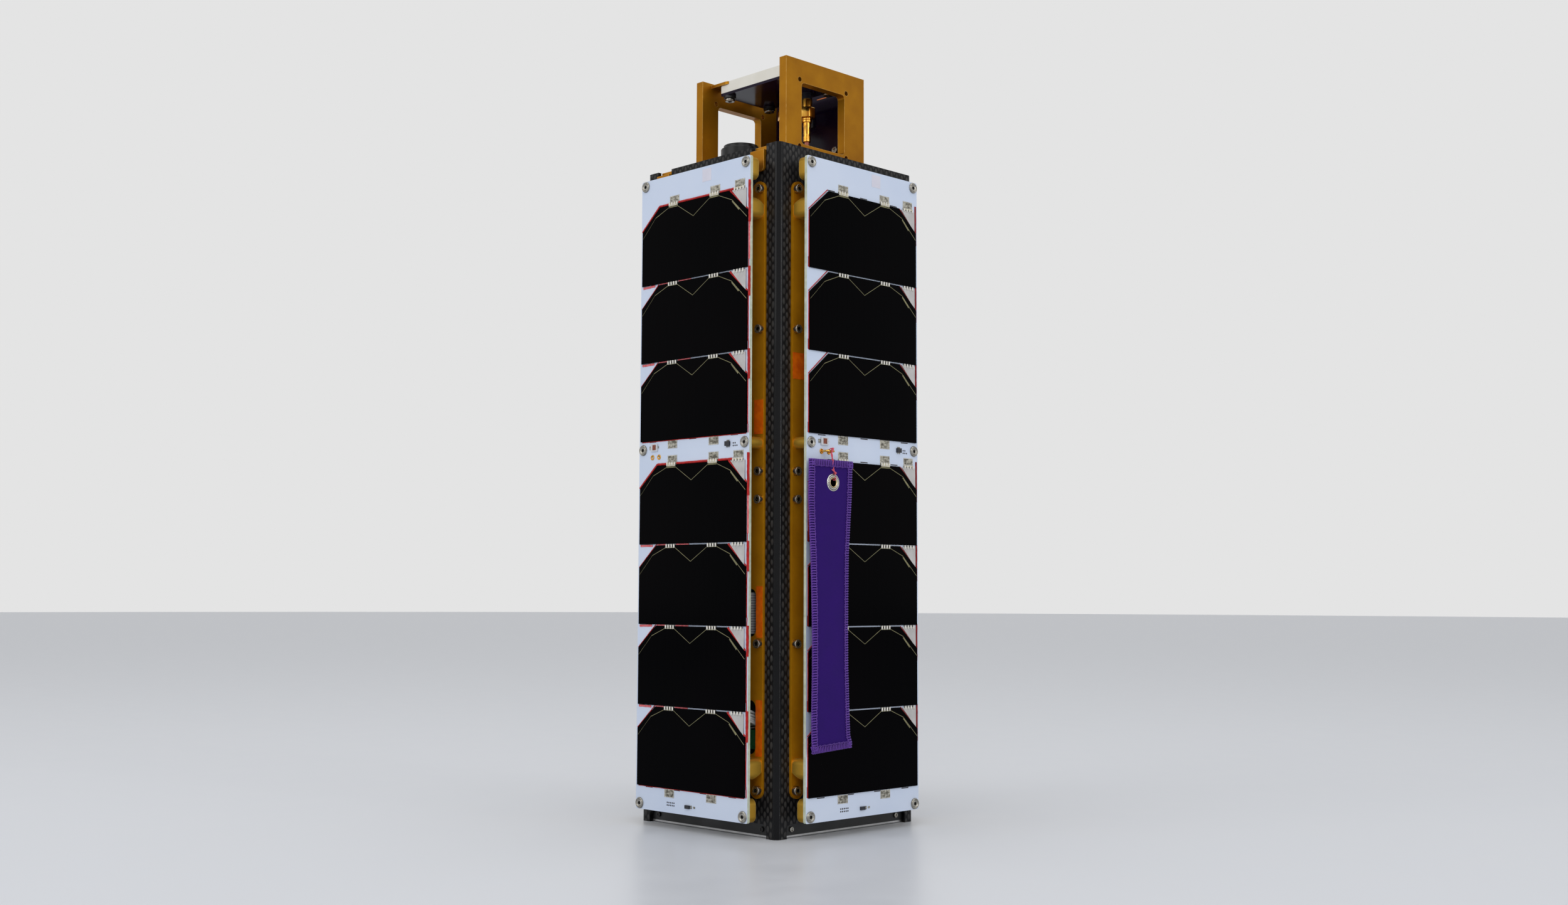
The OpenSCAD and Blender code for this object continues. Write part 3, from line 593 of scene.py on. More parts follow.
# the strip colours are painted light; the block colours are a painted reflection of the pale room
paints["railGold"] = makeRailGold({"strip": 0.05151, "light": (236, 162, 24), "dark": (212, 141, 12),
                                   "blockReflectLight": (192, 150, 54), "blockReflectDark": (176, 134, 40), "wearAndHighlight": (240, 206, 140)})
paints["boardWhite"] = makeBoardWhite({"front": 0.06094, "light": (216, 226, 243), "dark": (208, 220, 240),
                                       "edge": (212, 217, 196), "edgeDark": (184, 192, 166)})
paints["cellGlass"] = makeCellGlass({"pitch": 0.0009, "dark": (1, 1, 2), "light": (3, 2, 3), "line": (8, 8, 10), "rough": 0.1,
                                     "specular": 0.02})
paints["solderSilver"] = makeSolder({"light": (190, 187, 174), "dark": (102, 98, 88)})
paints["boardPurple"] = makePurpleBoard({"light": (26, 9, 38), "dark": (15, 5, 24)})
paints["tagTwill"] = makeCloth("tagTwill", {"pitch": 0.0007, "light": (54, 26, 112), "dark": (41, 18, 93), "bump": 0.35, "sheen": 0.03})
for name, s in {"stitchYarn": {"pitch": 0.0005, "light": (116, 66, 176), "dark": (70, 32, 124), "sheen": 0.15},
                "redThread": {"pitch": 0.0006, "light": (240, 104, 124), "dark": (206, 48, 76), "sheen": 0.3}}.items():
    paints[name] = makeYarn(name, s)
paints["lensCoated"] = makeLensCoat({"light": (40, 26, 58), "dark": (14, 18, 34)})
paints["grommetNickel"] = makeGrommetNickel({"centre": (-27.2, 171.6), "rings": ((3.6, 0.0001, 0.0003), (2.7, 0.00008, 0.00022)),
                                             "light": (222, 220, 214), "dark": (178, 176, 170), "lip": (206, 186, 140),
                                             "shade": (58, 54, 50)})
paints["ribbonGrey"] = makeRibbonGrey({"pitch": 0.00127, "light": (150, 150, 152), "dark": (96, 96, 98)})
print("finishes", len(paints))

stage = {"floor": (222, 224, 228), "back": (228, 228, 228), "ambient": 0.55,  # lamps: power, place, height they look at, width and length
         "lamps": {"keyLight": (5.2, (-0.35, -1.5, 1.0), 0.2, 1.1, 1.1), "fillLight": (2.4, (1.6, 0.25, 0.9), 0.2, 1.2, 1.2),
                   "topLight": (4.6, (0.1, -0.1, 1.7), 0.2, 1.2, 1.2), "frontLight": (4.2, (1.15, -1.2, 1.25), 0.2, 0.9, 0.9),
                   "stripLight": (3.0, (1.75, 0.28, 0.3), 0.3, 0.06, 0.9)}}


def makeStage(s):
    selectNothing()
    bpy.ops.mesh.primitive_circle_add(vertices=64, radius=9, fill_type="NGON", location=(0, 0, 0))
    floor = named("floor")
    paint, nt = blankFinish("floorPale")
    grain = noiseOf(nt, objectPlace(nt), 40.0)
    tone = blendOf(nt, patchy(nt, grain), linear(*[c - 2 for c in s["floor"]]), linear(*s["floor"]))
    covered(paint, tone, patchy(nt, grain, 0.3, 0.36), None, {"Specular IOR Level": 0.3})
    floor.data.materials.append(paint)
    world = bpy.data.worlds.new("studio")
    bpy.context.scene.world = world
    world.use_nodes = True
    nt = world.node_tree
    back = nt.nodes["Background"]
    back.inputs[0].default_value = linear(246, 249, 255)
    back.inputs[1].default_value = s["ambient"]
    seen = put(nt, "ShaderNodeBackground", {0: linear(*s["back"]), 1: 1.0})
    path = put(nt, "ShaderNodeLightPath").outputs
    seenFirst = sums(nt, "MAXIMUM", path["Is Camera Ray"], path["Is Glossy Ray"])
    direct = sums(nt, "MAXIMUM", seenFirst, path["Is Transmission Ray"])
    both = put(nt, "ShaderNodeMixShader", {0: direct, 1: back.outputs[0], 2: seen.outputs[0]})
    nt.links.new(both.outputs[0], nt.nodes["World Output"].inputs[0])
    for name, (power, place, aim, wide, long) in s["lamps"].items():
        lamp = bpy.data.lights.new(name, "AREA")
        lamp.energy, lamp.shape, lamp.size, lamp.size_y = power, "RECTANGLE", wide, long
        o = bpy.data.objects.new(name, lamp)
        bpy.context.scene.collection.objects.link(o)
        o.location = place
        o.rotation_euler = (Vector((0, 0, aim)) - Vector(place)).to_track_quat("-Z", "Y").to_euler()
    bpy.context.scene.view_settings.view_transform = "Standard"


makeStage(stage)
print("stage ready")

# the solids that keep their shape, with their own finish
plain = {"carbon_body": "carbonWeave", "base_plate": "bareAluminium", "inner_stack": "stackGreen", "inner_posts": "bareAluminium",
         "antenna_board": "boardPurple", "antenna_spacers": "blackPlate", "link_sockets": "goldPlate", "rear_board": "boardPurple",
         **{f"panel_{f}": "boardWhite" for f in faceTurns}, **{f"cells_{f}": "cellGlass" for f in faceTurns}}
for node, paint in plain.items():
    nodes[node].data.materials.clear()
    nodes[node].data.materials.append(paints[paint])
for node, name, paint, slot, width in (
        ("base_frame", "baseFrame", "blackPlate", "black_plate", 0.25), ("top_deck", "topDeck", "deckGold", "gold", 0.25),
        ("frame_left", "frameLeft", "goldAnodised", "gold", 0.3), ("frame_right", "frameRight", "goldAnodised", "gold", 0.3),
        ("antenna_tile", "antennaTile", "tileWhite", "tile", 0.35), ("lens_mount", "lensMount", "lensBlack", "black_plate", 0.2),
        ("lens_barrel", "lensBarrel", "lensBlack", "black_plate", 0.25),
        *((f"rails_{f}", "rails" + f.upper(), "railGold", "gold", 0.4) for f in faceTurns)):
    dress(mergedCopy(node, name, width), paint, replaces=(node,))
print("body, rails and frame dressed")


# screws
panelScrew = {"radius": 2.8, "height": 0.9, "socket": 1.0, "across": 38.1, "rows": (11, 191.1, 330), "seat": 60.94}
stripScrew = {"radius": 2.2, "height": 2.4, "socket": 1.15, "depth": 1.3, "across": 39.2, "seat": 51.5,
              "rows": (22.95, 93.15, 163.35, 177.15, 247.35, 317.55)}
baseScrew = {"radius": 1.3, "height": 0.8, "socket": 0.7, "depth": 0.4, "across": 38, "rows": (4,), "seat": 47.9}


def makeScrew(name, s, edge):
    top, socket = s["height"], s["socket"]
    head = soften(rod(name, s["radius"], 0, top, 32), edge, 3, 50)
    carved(head, rod("cut", socket, top - s["depth"], top + 1, 6))
    carved(head, turned("funnel", [(0, top - 0.16), (socket * 0.92, top - 0.16), (socket * 1.2, top + 0.02), (0, top + 0.02)]))
    return smooth(head, 32)


def screwPlaces(s, faces="abcd"):
    return [standing(f) @ at(side * s["across"], row, s["seat"]) @ Matrix.Rotation(dice.uniform(0, 1.04), 4, "Z")
            for f in faces for side in (-1, 1) for row in s["rows"]]


def makeCupScrew(s):  # countersunk screw in a cup washer
    rim, high = s["radius"], s["height"]
    profile = [(0, 0.52), (1.25, 0.5), (1.5, 0.62), (1.62, 0.5), (1.75, 0.56), (2.0, high - 0.04), (2.15, high),
               (2.5, high - 0.06), (rim - 0.06, 0.5), (rim, 0.4), (rim, 0), (0, 0)]
    return smooth(carved(turned("panelScrew", profile, steps=36), rod("cut", s["socket"], 0.12, high + 1, 6)), 32)


panelSpots, stripSpots = screwPlaces(panelScrew), screwPlaces(stripScrew)
dress(repeated("panelScrews", makeCupScrew(panelScrew), panelSpots), "screwSteel", replaces=("panel_screws",))
# dark hex plates at the bottoms of the sockets: painted shade in the sockets
socketShades = [repeated("socketShadePlates", rod("socketShadePlate", radius, low, low + 0.12, 6), spots)
          for radius, low, spots in ((0.96, 0.1, panelSpots), (1.1, 1.06, stripSpots))]
dress(joined("socketShadePlates", socketShades), "socketShade")
dress(repeated("stripScrews", makeScrew("stripScrew", stripScrew, 0.25), stripSpots), "screwDark",
      replaces=("strip_screws",))
for name, paint, faces, slot, solids in (("baseScrews", "screwSteel", "bd", "steel", ("base_screws",)),
                                         ("baseScrewsBlack", "blackPlate", "ac", "black_plate", ())):
    dress(repeated(name, makeScrew("baseScrew", baseScrew, 0.15), screwPlaces(baseScrew, faces)), paint, replaces=solids)
antennaScrew = {"radius": 2.7, "height": 1.6, "socket": 1.3, "depth": 0.9, "low": 381.0, "shank": (1.45, -8.6, 0.0, 24),
                "spots": ((-19, -19), (25.7, -19), (-19, 10.6), (25.7, 10.6))}
oneScrew = joined("antennaScrew", [makeScrew("antennaScrew", antennaScrew, 0.5), rod("shank", *antennaScrew["shank"])])
headTop = antennaScrew["low"] + antennaScrew["height"]
antennaSpots = [at(x, y, headTop) @ Matrix.Rotation(math.pi, 4, "X") for x, y in antennaScrew["spots"]]
dress(repeated("antennaScrews", oneScrew, antennaSpots), "screwSteel", replaces=("antenna_screws",))
print("screws placed")

# cells: bus lines, tabs, diodes
cell = {"front": 61.64, "board": 60.94, "rows": (20, 60.8, 101.6, 142.4, 195.45, 236.25, 277.05), "openTop": (142.4, 277.05),
        "tabs": ((-19.0, -12.2), (12.2, 18.9)), "diodeTab": (30.1, 37.4)}


def cellLines(s):
    (a, b), (c, d) = s["tabs"]
    line = [(-29.4, 35.0), (a, 38.95), (b, 38.95), (-0.1, 31.75), (c, 38.95), (d, 38.95), (28.6, 35.2), (39.4, 25.2)]
    base = s["front"] - 0.02
    parts = [bead("busLine", line, 0.36, 0.05, base), bead("busBar", [(28.9, 34.6), (33.9, 29.6)], 1.05, 0.06, base),
             bead("busLine", [(-39.4, 25.3), (-29.4, 35.0)], 0.15, 0.05, base)]
    parts += [bead("busFoot", [(low + 0.1, 38.9), (high - 0.1, 38.9)], 0.6, 0.07, base) for low, high in s["tabs"]]
    return joined("busLines", parts)


def tabFinger(s, low, back):  # a bent tongue from the board or from under the next cell to the cell's face
    step = s["front"] - s["board"]
    outline = [(0, 0.05), (0, 0.17), (0.5, 0.22), (low - 1.9, step + 0.2), (low, step + 0.16), (low, step),
               (low - 1.8, step + 0.04), (0.55, 0.1)]
    o = plate("finger", outline, -0.5, 0.5)
    o.data.transform(Matrix(((0, 0, 1, 0), (-1, 0, 0, 0), (0, 1, 0, 0), (0, 0, 0, 1))))
    o.data.transform(at(0, back, s["board"]))
    return o


def fingers(s, spans, low, back):
    spots = []
    for a, b in spans:
        pitch = (b - a - 1.0) / 3
        spots += [a + 0.5 + i * pitch for i in range(4)]
    return repeated("fingers", tabFinger(s, low, back), [at(x, 0) for x in spots])


def atRows(o, name, rows):
    return repeated(name, o, [at(0, z) for z in rows])


closedTop = [z for z in cell["rows"] if z not in cell["openTop"]]
onFaces(atRows(cellLines(cell), "busLines", cell["rows"]), "busLines", "busGold")
longTabs = atRows(fingers(cell, cell["tabs"], 1.4, 41.15), "longTabs", cell["openTop"])
shortTabs = atRows(fingers(cell, cell["tabs"], 2.0, 40.75), "shortTabs", closedTop)
onFaces(joined("cellTabs", [longTabs, shortTabs]), "cellTabs", "tabSilver")
tabBars = [plate("tabBar", [(a, low), (b, low), (b, 41.1), (a, 41.1)], cell["board"], cell["front"] + 0.06, 0.04)
           for (a, b), low in (*((tab, 39.4) for tab in cell["tabs"]), (cell["diodeTab"], 40.3))]
onFaces(atRows(joined("tabBars", tabBars), "tabBars", cell["openTop"]), "tabBars", "tabBase")

diode = {"corners": ((28.5, 39.85), (38.75, 39.85), (38.75, 29.3)), "height": 0.62}
oneDiode = plate("diode", diode["corners"], cell["board"], cell["board"] + diode["height"], 0.06)
onFaces(atRows(oneDiode, "diodes", cell["rows"]), "bypassDiodes", "diodeGrey")
diodeTabs = [atRows(fingers(cell, [cell["diodeTab"]], low, back), "diodeTabs", rows)
             for low, back, rows in ((2.0, 41.2, cell["openTop"]), (1.9, 40.7, closedTop))]
onFaces(joined("diodeTabs", diodeTabs), "diodeTabs", "tabSilver")
print("cells dressed")

# silicone round the cells
silicone = {"base": 60.92, "wideEdge": 40.75, "narrowEdge": 39.95}


def shaken(point, sway):
    return tuple(v + dice.uniform(-sway, sway) for v in point)


def glue(name, lines, width, height):
    return joined(name, [bead(name, [shaken(p, 0.04) for p in line], width, height, silicone["base"], 2) for line in lines])


def wavy(a, b, steps, sway):
    return [shaken([p + (q - p) * i / steps for p, q in zip(a, b)], sway) for i in range(steps + 1)]


def siliconeOn(face):
    thick, thin, smear = [], [], []
    wide = face in "ad"
    edge = silicone["wideEdge" if wide else "narrowEdge"]
    for z in cell["rows"]:
        top = z in cell["openTop"]
        thick.append(wavy((27.1, z + 39.95), (39.4, z + 29.0), 10, 0.05))
        end = 26.4 if wide and not top else 22.5
        thick.append(wavy((edge, z + (43.3 if top else 41.2)), (edge, z + end), 14, 0.06))
        (thick if top and wide else thin).append(wavy((-40.3, z + 29.1), (-26.9, z + 40.7), 8, 0.03))
        if wide:
            thick.append(wavy((edge - 0.1, z + (43.4 if top else 41.2)), (edge - 0.1, z + 30.0), 10, 0.1))
            thin.append(wavy((edge - 0.3, z + 4.2), (edge - 0.3, z + 0.0), 5, 0.04))
            if top:
                smear.append(wavy((edge - 0.15, z + 22.6), (edge - 0.15, z + 4.0), 12, 0.05))
            else:
                thin.append(wavy((edge - 0.5, z + 26.3), (edge - 0.5, z + 4.2), 12, 0.03))
        if top and wide:
            spans = ((-26.9, -19.5), (-11.8, 11.9), (19.5, 29.8))
            thick += [wavy((a, z + 40.75), (b, z + 40.75), 8, 0.06) for a, b in spans]
        elif wide:
            smear += [wavy((a, z + 40.42), (b, z + 40.42), 6, 0.03) for a, b in ((-26.2, -19.6), (-11.6, -2.0))]
        thin.append(wavy((-40.0, z + 28.6), (-40.0, z + 0.2), 9, 0.03))
    if wide:
        smear += [wavy((-39.4, z - 0.75), (-30.0, z - 0.7), 7, 0.12) for z in cell["rows"][1:4] + cell["rows"][5:]]
        thin += [wavy((-39.0, z - 0.2), (39.0, z - 0.2), 24, 0.05) for z in (cell["rows"][0], cell["rows"][4])]
    for name, lines, width, height, paint in (
            ("siliconeThick", thick, 1.4 if wide else 1.1, 0.62, "siliconeRed" if wide else "siliconeDark"),
            ("siliconeThin", thin, 0.5, 0.35, "siliconeRed"), ("siliconeSmear", smear, 1.3, 0.3, "siliconeSmear")):
        if lines:
            onFaces(glue(name, lines, width, height), name, paint, face)


for face in "abcd":
    siliconeOn(face)
print("silicone laid")

# prints and parts on the boards
board = {"front": 60.94, "padWidth": 7.3,
         "pads": ((-15.3, 319.95, 3.9), (15.7, 319.95, 3.9), (33.8, 319.95, 3.9), (-15.3, 193.2, 4.5), (15.7, 193.2, 4.5),
                  (-15.3, 185.5, 3.9), (15.7, 185.5, 3.9), (33.8, 185.5, 3.5), (-15.4, 17.6, 4.2), (15.7, 17.6, 4.2)),
         "marks": [(u, z, 5.3, 0.5)
                   for z, row in ((317.75, (-24.1, -0.1, 22.7)), (195.0, (-30.6, 0.1, 30.8)), (183.2, (-23.7, 0.1, 22.8)),
                                  (19.5, (-30.9, -10.0, 10.0, 30.7))) for u in row]
         + [(side * 40.35, z + 2.8, 0.45, 5.1) for z in cell["rows"] for side in (-1, 1)],
         "tracks": ((0.2, 191.1, 21, 0.5), (0.2, 186.6, 21, 0.5), (0.3, 15.4, 21, 0.5), (-30, 186.9, 9, 0.4)),
         "ceramic": (-29.0, 192.0, 5.0, 3.8), "window": (-28.8, 192.1, 2.6, 2.7),
         "feet": ((-32.3, 192.0, 1.4, 1.8), (-26.2, 192.1, 0.7, 1.0), (26.3, 192.4, 1.8, 0.5), (25.6, 189.4, 0.5, 0.7),
                  (27.0, 189.4, 0.5, 0.7), (1.2, 12.2, 0.9, 1.6), (3.4, 12.2, 1.3, 0.9)),
         "chips": ((26.2, 190.9, 3.3, 2.3, 1.0), (-1.4, 12.1, 3.3, 1.7, 0.8)),
         "vias": [(30.0, 191.0), (31.3, 191.0), (30.0, 189.7), (31.3, 189.7), (32.6, 189.7)]
         + [(-16.8 + 1.27 * i, y) for i in range(5) for y in (11.7, 13.0)]}


def corners(x, y, width, height):
    w, h = width / 2, height / 2
    return [(x - w, y - h), (x + w, y - h), (x + w, y + h), (x - w, y + h)]


def flatBar(name, x, y, width, height, low, thick, edge=0):
    return plate(name, corners(x, y, width, height), low, low + thick, edge)


def solderPad(name, x, y, width, height, low):  # uneven tinned copper
    o = gridSheet(name, 14, 8, width, height)
    for v in o.data.vertices:
        rim = max(abs(v.co.x) / (width / 2 * mm), abs(v.co.y) / (height / 2 * mm))
        v.co.z = (0.02 if rim > 0.98 else dice.uniform(0.05, 0.12)) * mm
    applied(o, "SOLIDIFY", thickness=0.05 * mm, offset=1)
    o.data.transform(at(x, y, low))
    return smooth(o, 60)


def padRim(x, y, width, height, low):
    w, h = width / 2 - 0.2, height / 2 - 0.2
    outline = [(x - w, y - h), (x + w, y - h), (x + w, y + h), (x - w, y + h)]
    return bead("padRim", [*outline, outline[0]], 0.36, 0.14, low)


def onBoard(name, source, paint, made, faces="abcd"):
    onFaces(joined(source, made), name, paint, faces)


low, padWide = board["front"], board["padWidth"]
onBoard("padRims", "padRims", "tabSilver", [padRim(x, y, padWide, h, low) for x, y, h in board["pads"]])
onBoard("solderPads", "pads", "solderSilver", [solderPad("pad", x, y, padWide, h, low) for x, y, h in board["pads"]])
onBoard("boardMarks", "marks", "printBlack", [flatBar("mark", *m, low, 0.03) for m in board["marks"]])
onBoard("boardTracks", "tracks", "boardWhite", [flatBar("track", *t, low - 0.01, 0.035) for t in board["tracks"]])
onFaces(plate("label", [(6.0, 325.2), (12.6, 325.2), (12.6, 331.7), (6.0, 331.7)], low, low + 0.07), "blankLabel", "labelPaper", "ab")

holes = {"spots": ((-30.75, 187), (-25.65, 187)), "inner": 0.62, "outer": 1.38, "height": 0.32}
inner, outer, top = holes["inner"], holes["outer"], holes["height"]
ring = turned("ring", [(inner, -0.3), (inner, 0.04), (0.92, 0.1), (1.04, top), (1.2, top), (outer, 0.08), (outer, -0.02)], steps=24)
onFaces(repeated("rings", smooth(ring, 50), [at(x, y, board["front"]) for x, y in holes["spots"]]), "platedHoles", "goldPlate")


def boardParts(s):
    low = s["front"]
    onBoard("sunSensor", "sensorBody", "sensorCeramic", [soften(flatBar("sensor", *s["ceramic"], low, 0.75), 0.12)])
    onBoard("sensorWindow", "sensorWindow", "sensorWindow", [flatBar("window", *s["window"], low + 0.72, 0.08)])
    onBoard("partFeet", "chipFeet", "solderSilver", [soften(flatBar("foot", *spot, low, 0.3), 0.06) for spot in s["feet"]])
    onBoard("smallChips", "chips", "chipBlack", [soften(flatBar("chip", *spot, low, tall), 0.15) for *spot, tall in s["chips"]])
    onFaces(repeated("vias", rod("via", 0.42, 0, 0.05, 12), [at(x, y, low) for x, y in s["vias"]]), "boardVias", "printBlack")


boardParts(board)
print("board parts placed")

# wires, ribbon cable and amber film in the gap
harness = {"centre": (26.6, 50.65), "radius": 7.9, "wires": (54.6, 55.9, 57.2, 58.5, 59.8), "wire": 0.6, "drop": 3.0,
           "board": ((22, -46.2, 41.5), (33, -45.2, 51)), "ribbon": (98, 118), "ribbonOuter": 8.35, "ribbonInner": 7.5}


def halfTurn(radius, steps=20):
    cx, cy = harness["centre"]
    turns = [math.pi * (i / steps - 0.5) for i in range(steps + 1)]
    return [(cx + radius * math.cos(turn), -cy + radius * math.sin(turn)) for turn in turns]


def wirePath(s, k, z):  # sags in the middle and runs on into the slot
    path = [(x, y, z + s["drop"] * math.cos(math.pi * i / 20) + 0.3 * math.sin(i * 0.4 + z))
            for i, (x, y) in enumerate(halfTurn(s["radius"] - 0.25 * k))]
    x, y, z = path[-1]
    return path + [(x - 3, y, z - 0.4), (x - 8, y, z - 0.6)]


def makeHarness(s):
    turns = [Matrix.Rotation(math.radians(turn), 4, "Z") for turn in faceTurns.values()]
    wires = [smooth(asMesh(tube("wire", wirePath(s, k, z), s["wire"]), "wire"), 60) for k, z in enumerate(s["wires"])]
    outline = halfTurn(s["ribbonOuter"]) + list(reversed(halfTurn(s["ribbonInner"])))
    ribbon = smooth(plate("ribbon", outline, *s["ribbon"]), 40)
    corner = soften(block("slotBoard", *s["board"]), 0.15)
    dress(repeated("slotBoards", corner, turns), "boardPatch")
    dress(repeated("harnessWires", joined("wires", wires), turns), "wireWhite", replaces=("harness",))
    dress(repeated("ribbonCables", ribbon, turns), "ribbonGrey")


makeHarness(harness)

film = {"depth": 51.52, "everywhere": ((36.95, 41.4, 39, 66), (36.95, 41.4, 96, 121)),
        "more": {"a": [(34.9, 41.1, 195.5, 212.5)], "b": [(-41.4, -33.3, 222.7, 235.8)]}}


def filmPiece(name, left, right, low, high, depth):
    o = gridSheet(name, 8, 20, right - left, high - low)
    for v in o.data.vertices:
        v.co.z = abs(math.sin(v.co.y * 900 + v.co.x * 700)) ** 6 * 0.18 * mm
    applied(o, "SOLIDIFY", thickness=0.06 * mm, offset=1)
    o.data.transform(at((left + right) / 2, (low + high) / 2, depth))
    return smooth(o, 60)


for face in faceTurns:
    pieces = [*film["everywhere"], *film["more"].get(face, ())]
    onBoard("amberFilm", "film", "filmAmber", [filmPiece("film", *piece, film["depth"]) for piece in pieces], face)
print("harness and film placed")

# lens, connectors and parts on the deck
lensGlass = {"spot": (1.6, -30, 345.8), "radius": 5.2, "dome": ((0.8, 0.62), (0.5, 0.87), (0.2, 0.98), (0, 1.0))}
r = lensGlass["radius"]
frontLens = turned("frontLens", [(0, 0), (r, 0), (r, 0.3), *((r * share, z) for share, z in lensGlass["dome"])], lensGlass["spot"], 40)
dress(smooth(frontLens, 60), "lensCoated", replaces=("lens_glass",))

radio = {"spots": ((14, 6.5), (3.2, 1.5)), "board": 384, "nutTop": 376, "nutLow": 370.2, "collarLow": 367.9,
         "ferruleLow": 357.3, "cableLow": 334.8}


def radioSet(s):
    roots, jacks, plugs, cables = [], [], [], []
    board, nutTop, nutLow, collar, ferrule = s["board"], s["nutTop"], s["nutLow"], s["collarLow"], s["ferruleLow"]
    for x, y in s["spots"]:
        def lathe(name, *profile, steps=32):
            return turned(name, profile, (x, y, 0), steps)

        roots.append(lathe("root", (0, board), (3.0, board), (3.0, 382.5), (2.8, 382.4), (2.8, 380.7), (0, 380.7)))
        jack = lathe("jack", (0, 380.7), (2.5, 380.7), (2.5, 380.4), (2.9, 380.2), (2.9, 376.0), (0, 376.0))
        threads = [lathe("thread", (2.5, 380.3 - z), (2.85, 380.1 - z), (2.5, 379.9 - z), steps=24) for z in (0, 0.5)]
        jacks.append(smooth(joined("jack", [jack, *threads]), 40))
        nut = soften(rod("nut", 4.62, nutLow, nutTop, 6, (x, y)), 0.45, 3)
        neck = lathe("collar", (0, nutLow), (2.75, nutLow), (2.75, 369.4), (2.55, 369.2), (2.75, 369.0), (2.75, 368.1), (2.5, collar),
                     (0, collar))
        sleeve = lathe("ferrule", (0, collar), (2.1, collar), (2.1, 365.6), (1.9, 365.0), (1.95, 362.0), (1.85, 361.4), (1.95, 360.6),
                       (2.1, 360.0), (2.05, 357.6), (1.8, ferrule), (0, ferrule))
        plugs.append(smooth(joined("plug", [nut, neck, sleeve]), 35))
        cables.append(lathe("coax", (0, ferrule), (1.3, ferrule), (1.3, s["cableLow"]), (0, s["cableLow"]), steps=20))
    # the jack roots, from the board down to 380.7 mm, are black
    dress(smooth(joined("radioRoots", roots)), "chipBlack")
    dress(joined("radioJacks", jacks), "goldPlate", replaces=("radio_jacks",))
    dress(joined("radioPlugs", plugs), "goldPlate", replaces=("radio_plugs",))
    dress(smooth(joined("radioCables", cables)), "coaxCopper", replaces=("radio_cables",))


radioSet(radio)

rear = {"front": 26.3, "chips": (((-6.0, 372.0), (0.5, 378.5), 1.4), ((20.0, 381.0), (24.5, 384.5), 1.2)),
        "traces": (((2.3, 386.9), (9.5, 387.4)), ((-22, 345), (-21.5, 380)), ((-21.5, 345), (-4, 345.5))),
        "screw": {"radius": 1.9, "height": 1.1, "socket": 0.9, "depth": 0.6},
        "screws": [(x, z) for z in (356.4, 342.5) for x in (16.2, -16.2)]}


def rearParts(s):
    front = s["front"]

    def raised(name, low, high, thick):  # a block on the board's front
        return block(name, (low[0], front - thick, low[1]), (high[0], front, high[1]))

    dress(joined("rearBlackParts", [soften(raised("rearChip", *chip), 0.2) for chip in s["chips"]]), "chipBlack")
    upper = soften(block("rearBoardTop", (-29.2, front, 387.95), (29.2, front + 1.6, 391.6)), 0.15)
    dress(upper, "boardPurple")
    dress(joined("rearTraces", [raised("trace", *trace, 0.06) for trace in s["traces"]]), "copperTrace")
    places = [Matrix.Translation((x * mm, front * mm, z * mm)) @ Matrix.Rotation(math.pi / 2, 4, "X") for x, z in s["screws"]]
    dress(repeated("rearScrews", makeScrew("rearScrew", s["screw"], 0.25), places), "screwSteel")


rearParts(rear)
print("deck parts placed")

# shorting link, thread and flight tag
link = {"legs": (-30.75, -25.65), "height": 187, "from": 57.8, "bar": 65.04, "radius": 0.5, "corner": 1.1}


def makeLink(s):
    (a, b), c, z, bar = s["legs"], s["corner"], s["height"], s["bar"] - s["corner"]
    turns = [math.pi / 2 * i / 6 for i in range(7)]
    bend = [(c * math.sin(turn), c * (1 - math.cos(turn))) for turn in turns]
    path = [(s["from"], a, z), *((bar + x, a + y, z) for x, y in bend)]
    path += [*((bar + x, b - y, z) for x, y in reversed(bend)), (s["from"], b, z)]
    wire = asMesh(tube("link", path, s["radius"], 4), "shortingWire")
    dress(smooth(wire, 50), "goldPlate", body="link", replaces=("shorting_link",))


makeLink(link)

thread = {"top": (65.04, -28.2, 187), "loop": 1.25, "lean": 9, "drop": 13.1, "diameter": 0.5, "ply": 0.26, "twists": 2.5}


def ringPath(radius, middle, start, sweep, steps, count):
    turns = [math.radians(start + sweep * i / steps) for i in range(count)]
    return [(radius * math.cos(turn), middle + radius * math.sin(turn), 0) for turn in turns]


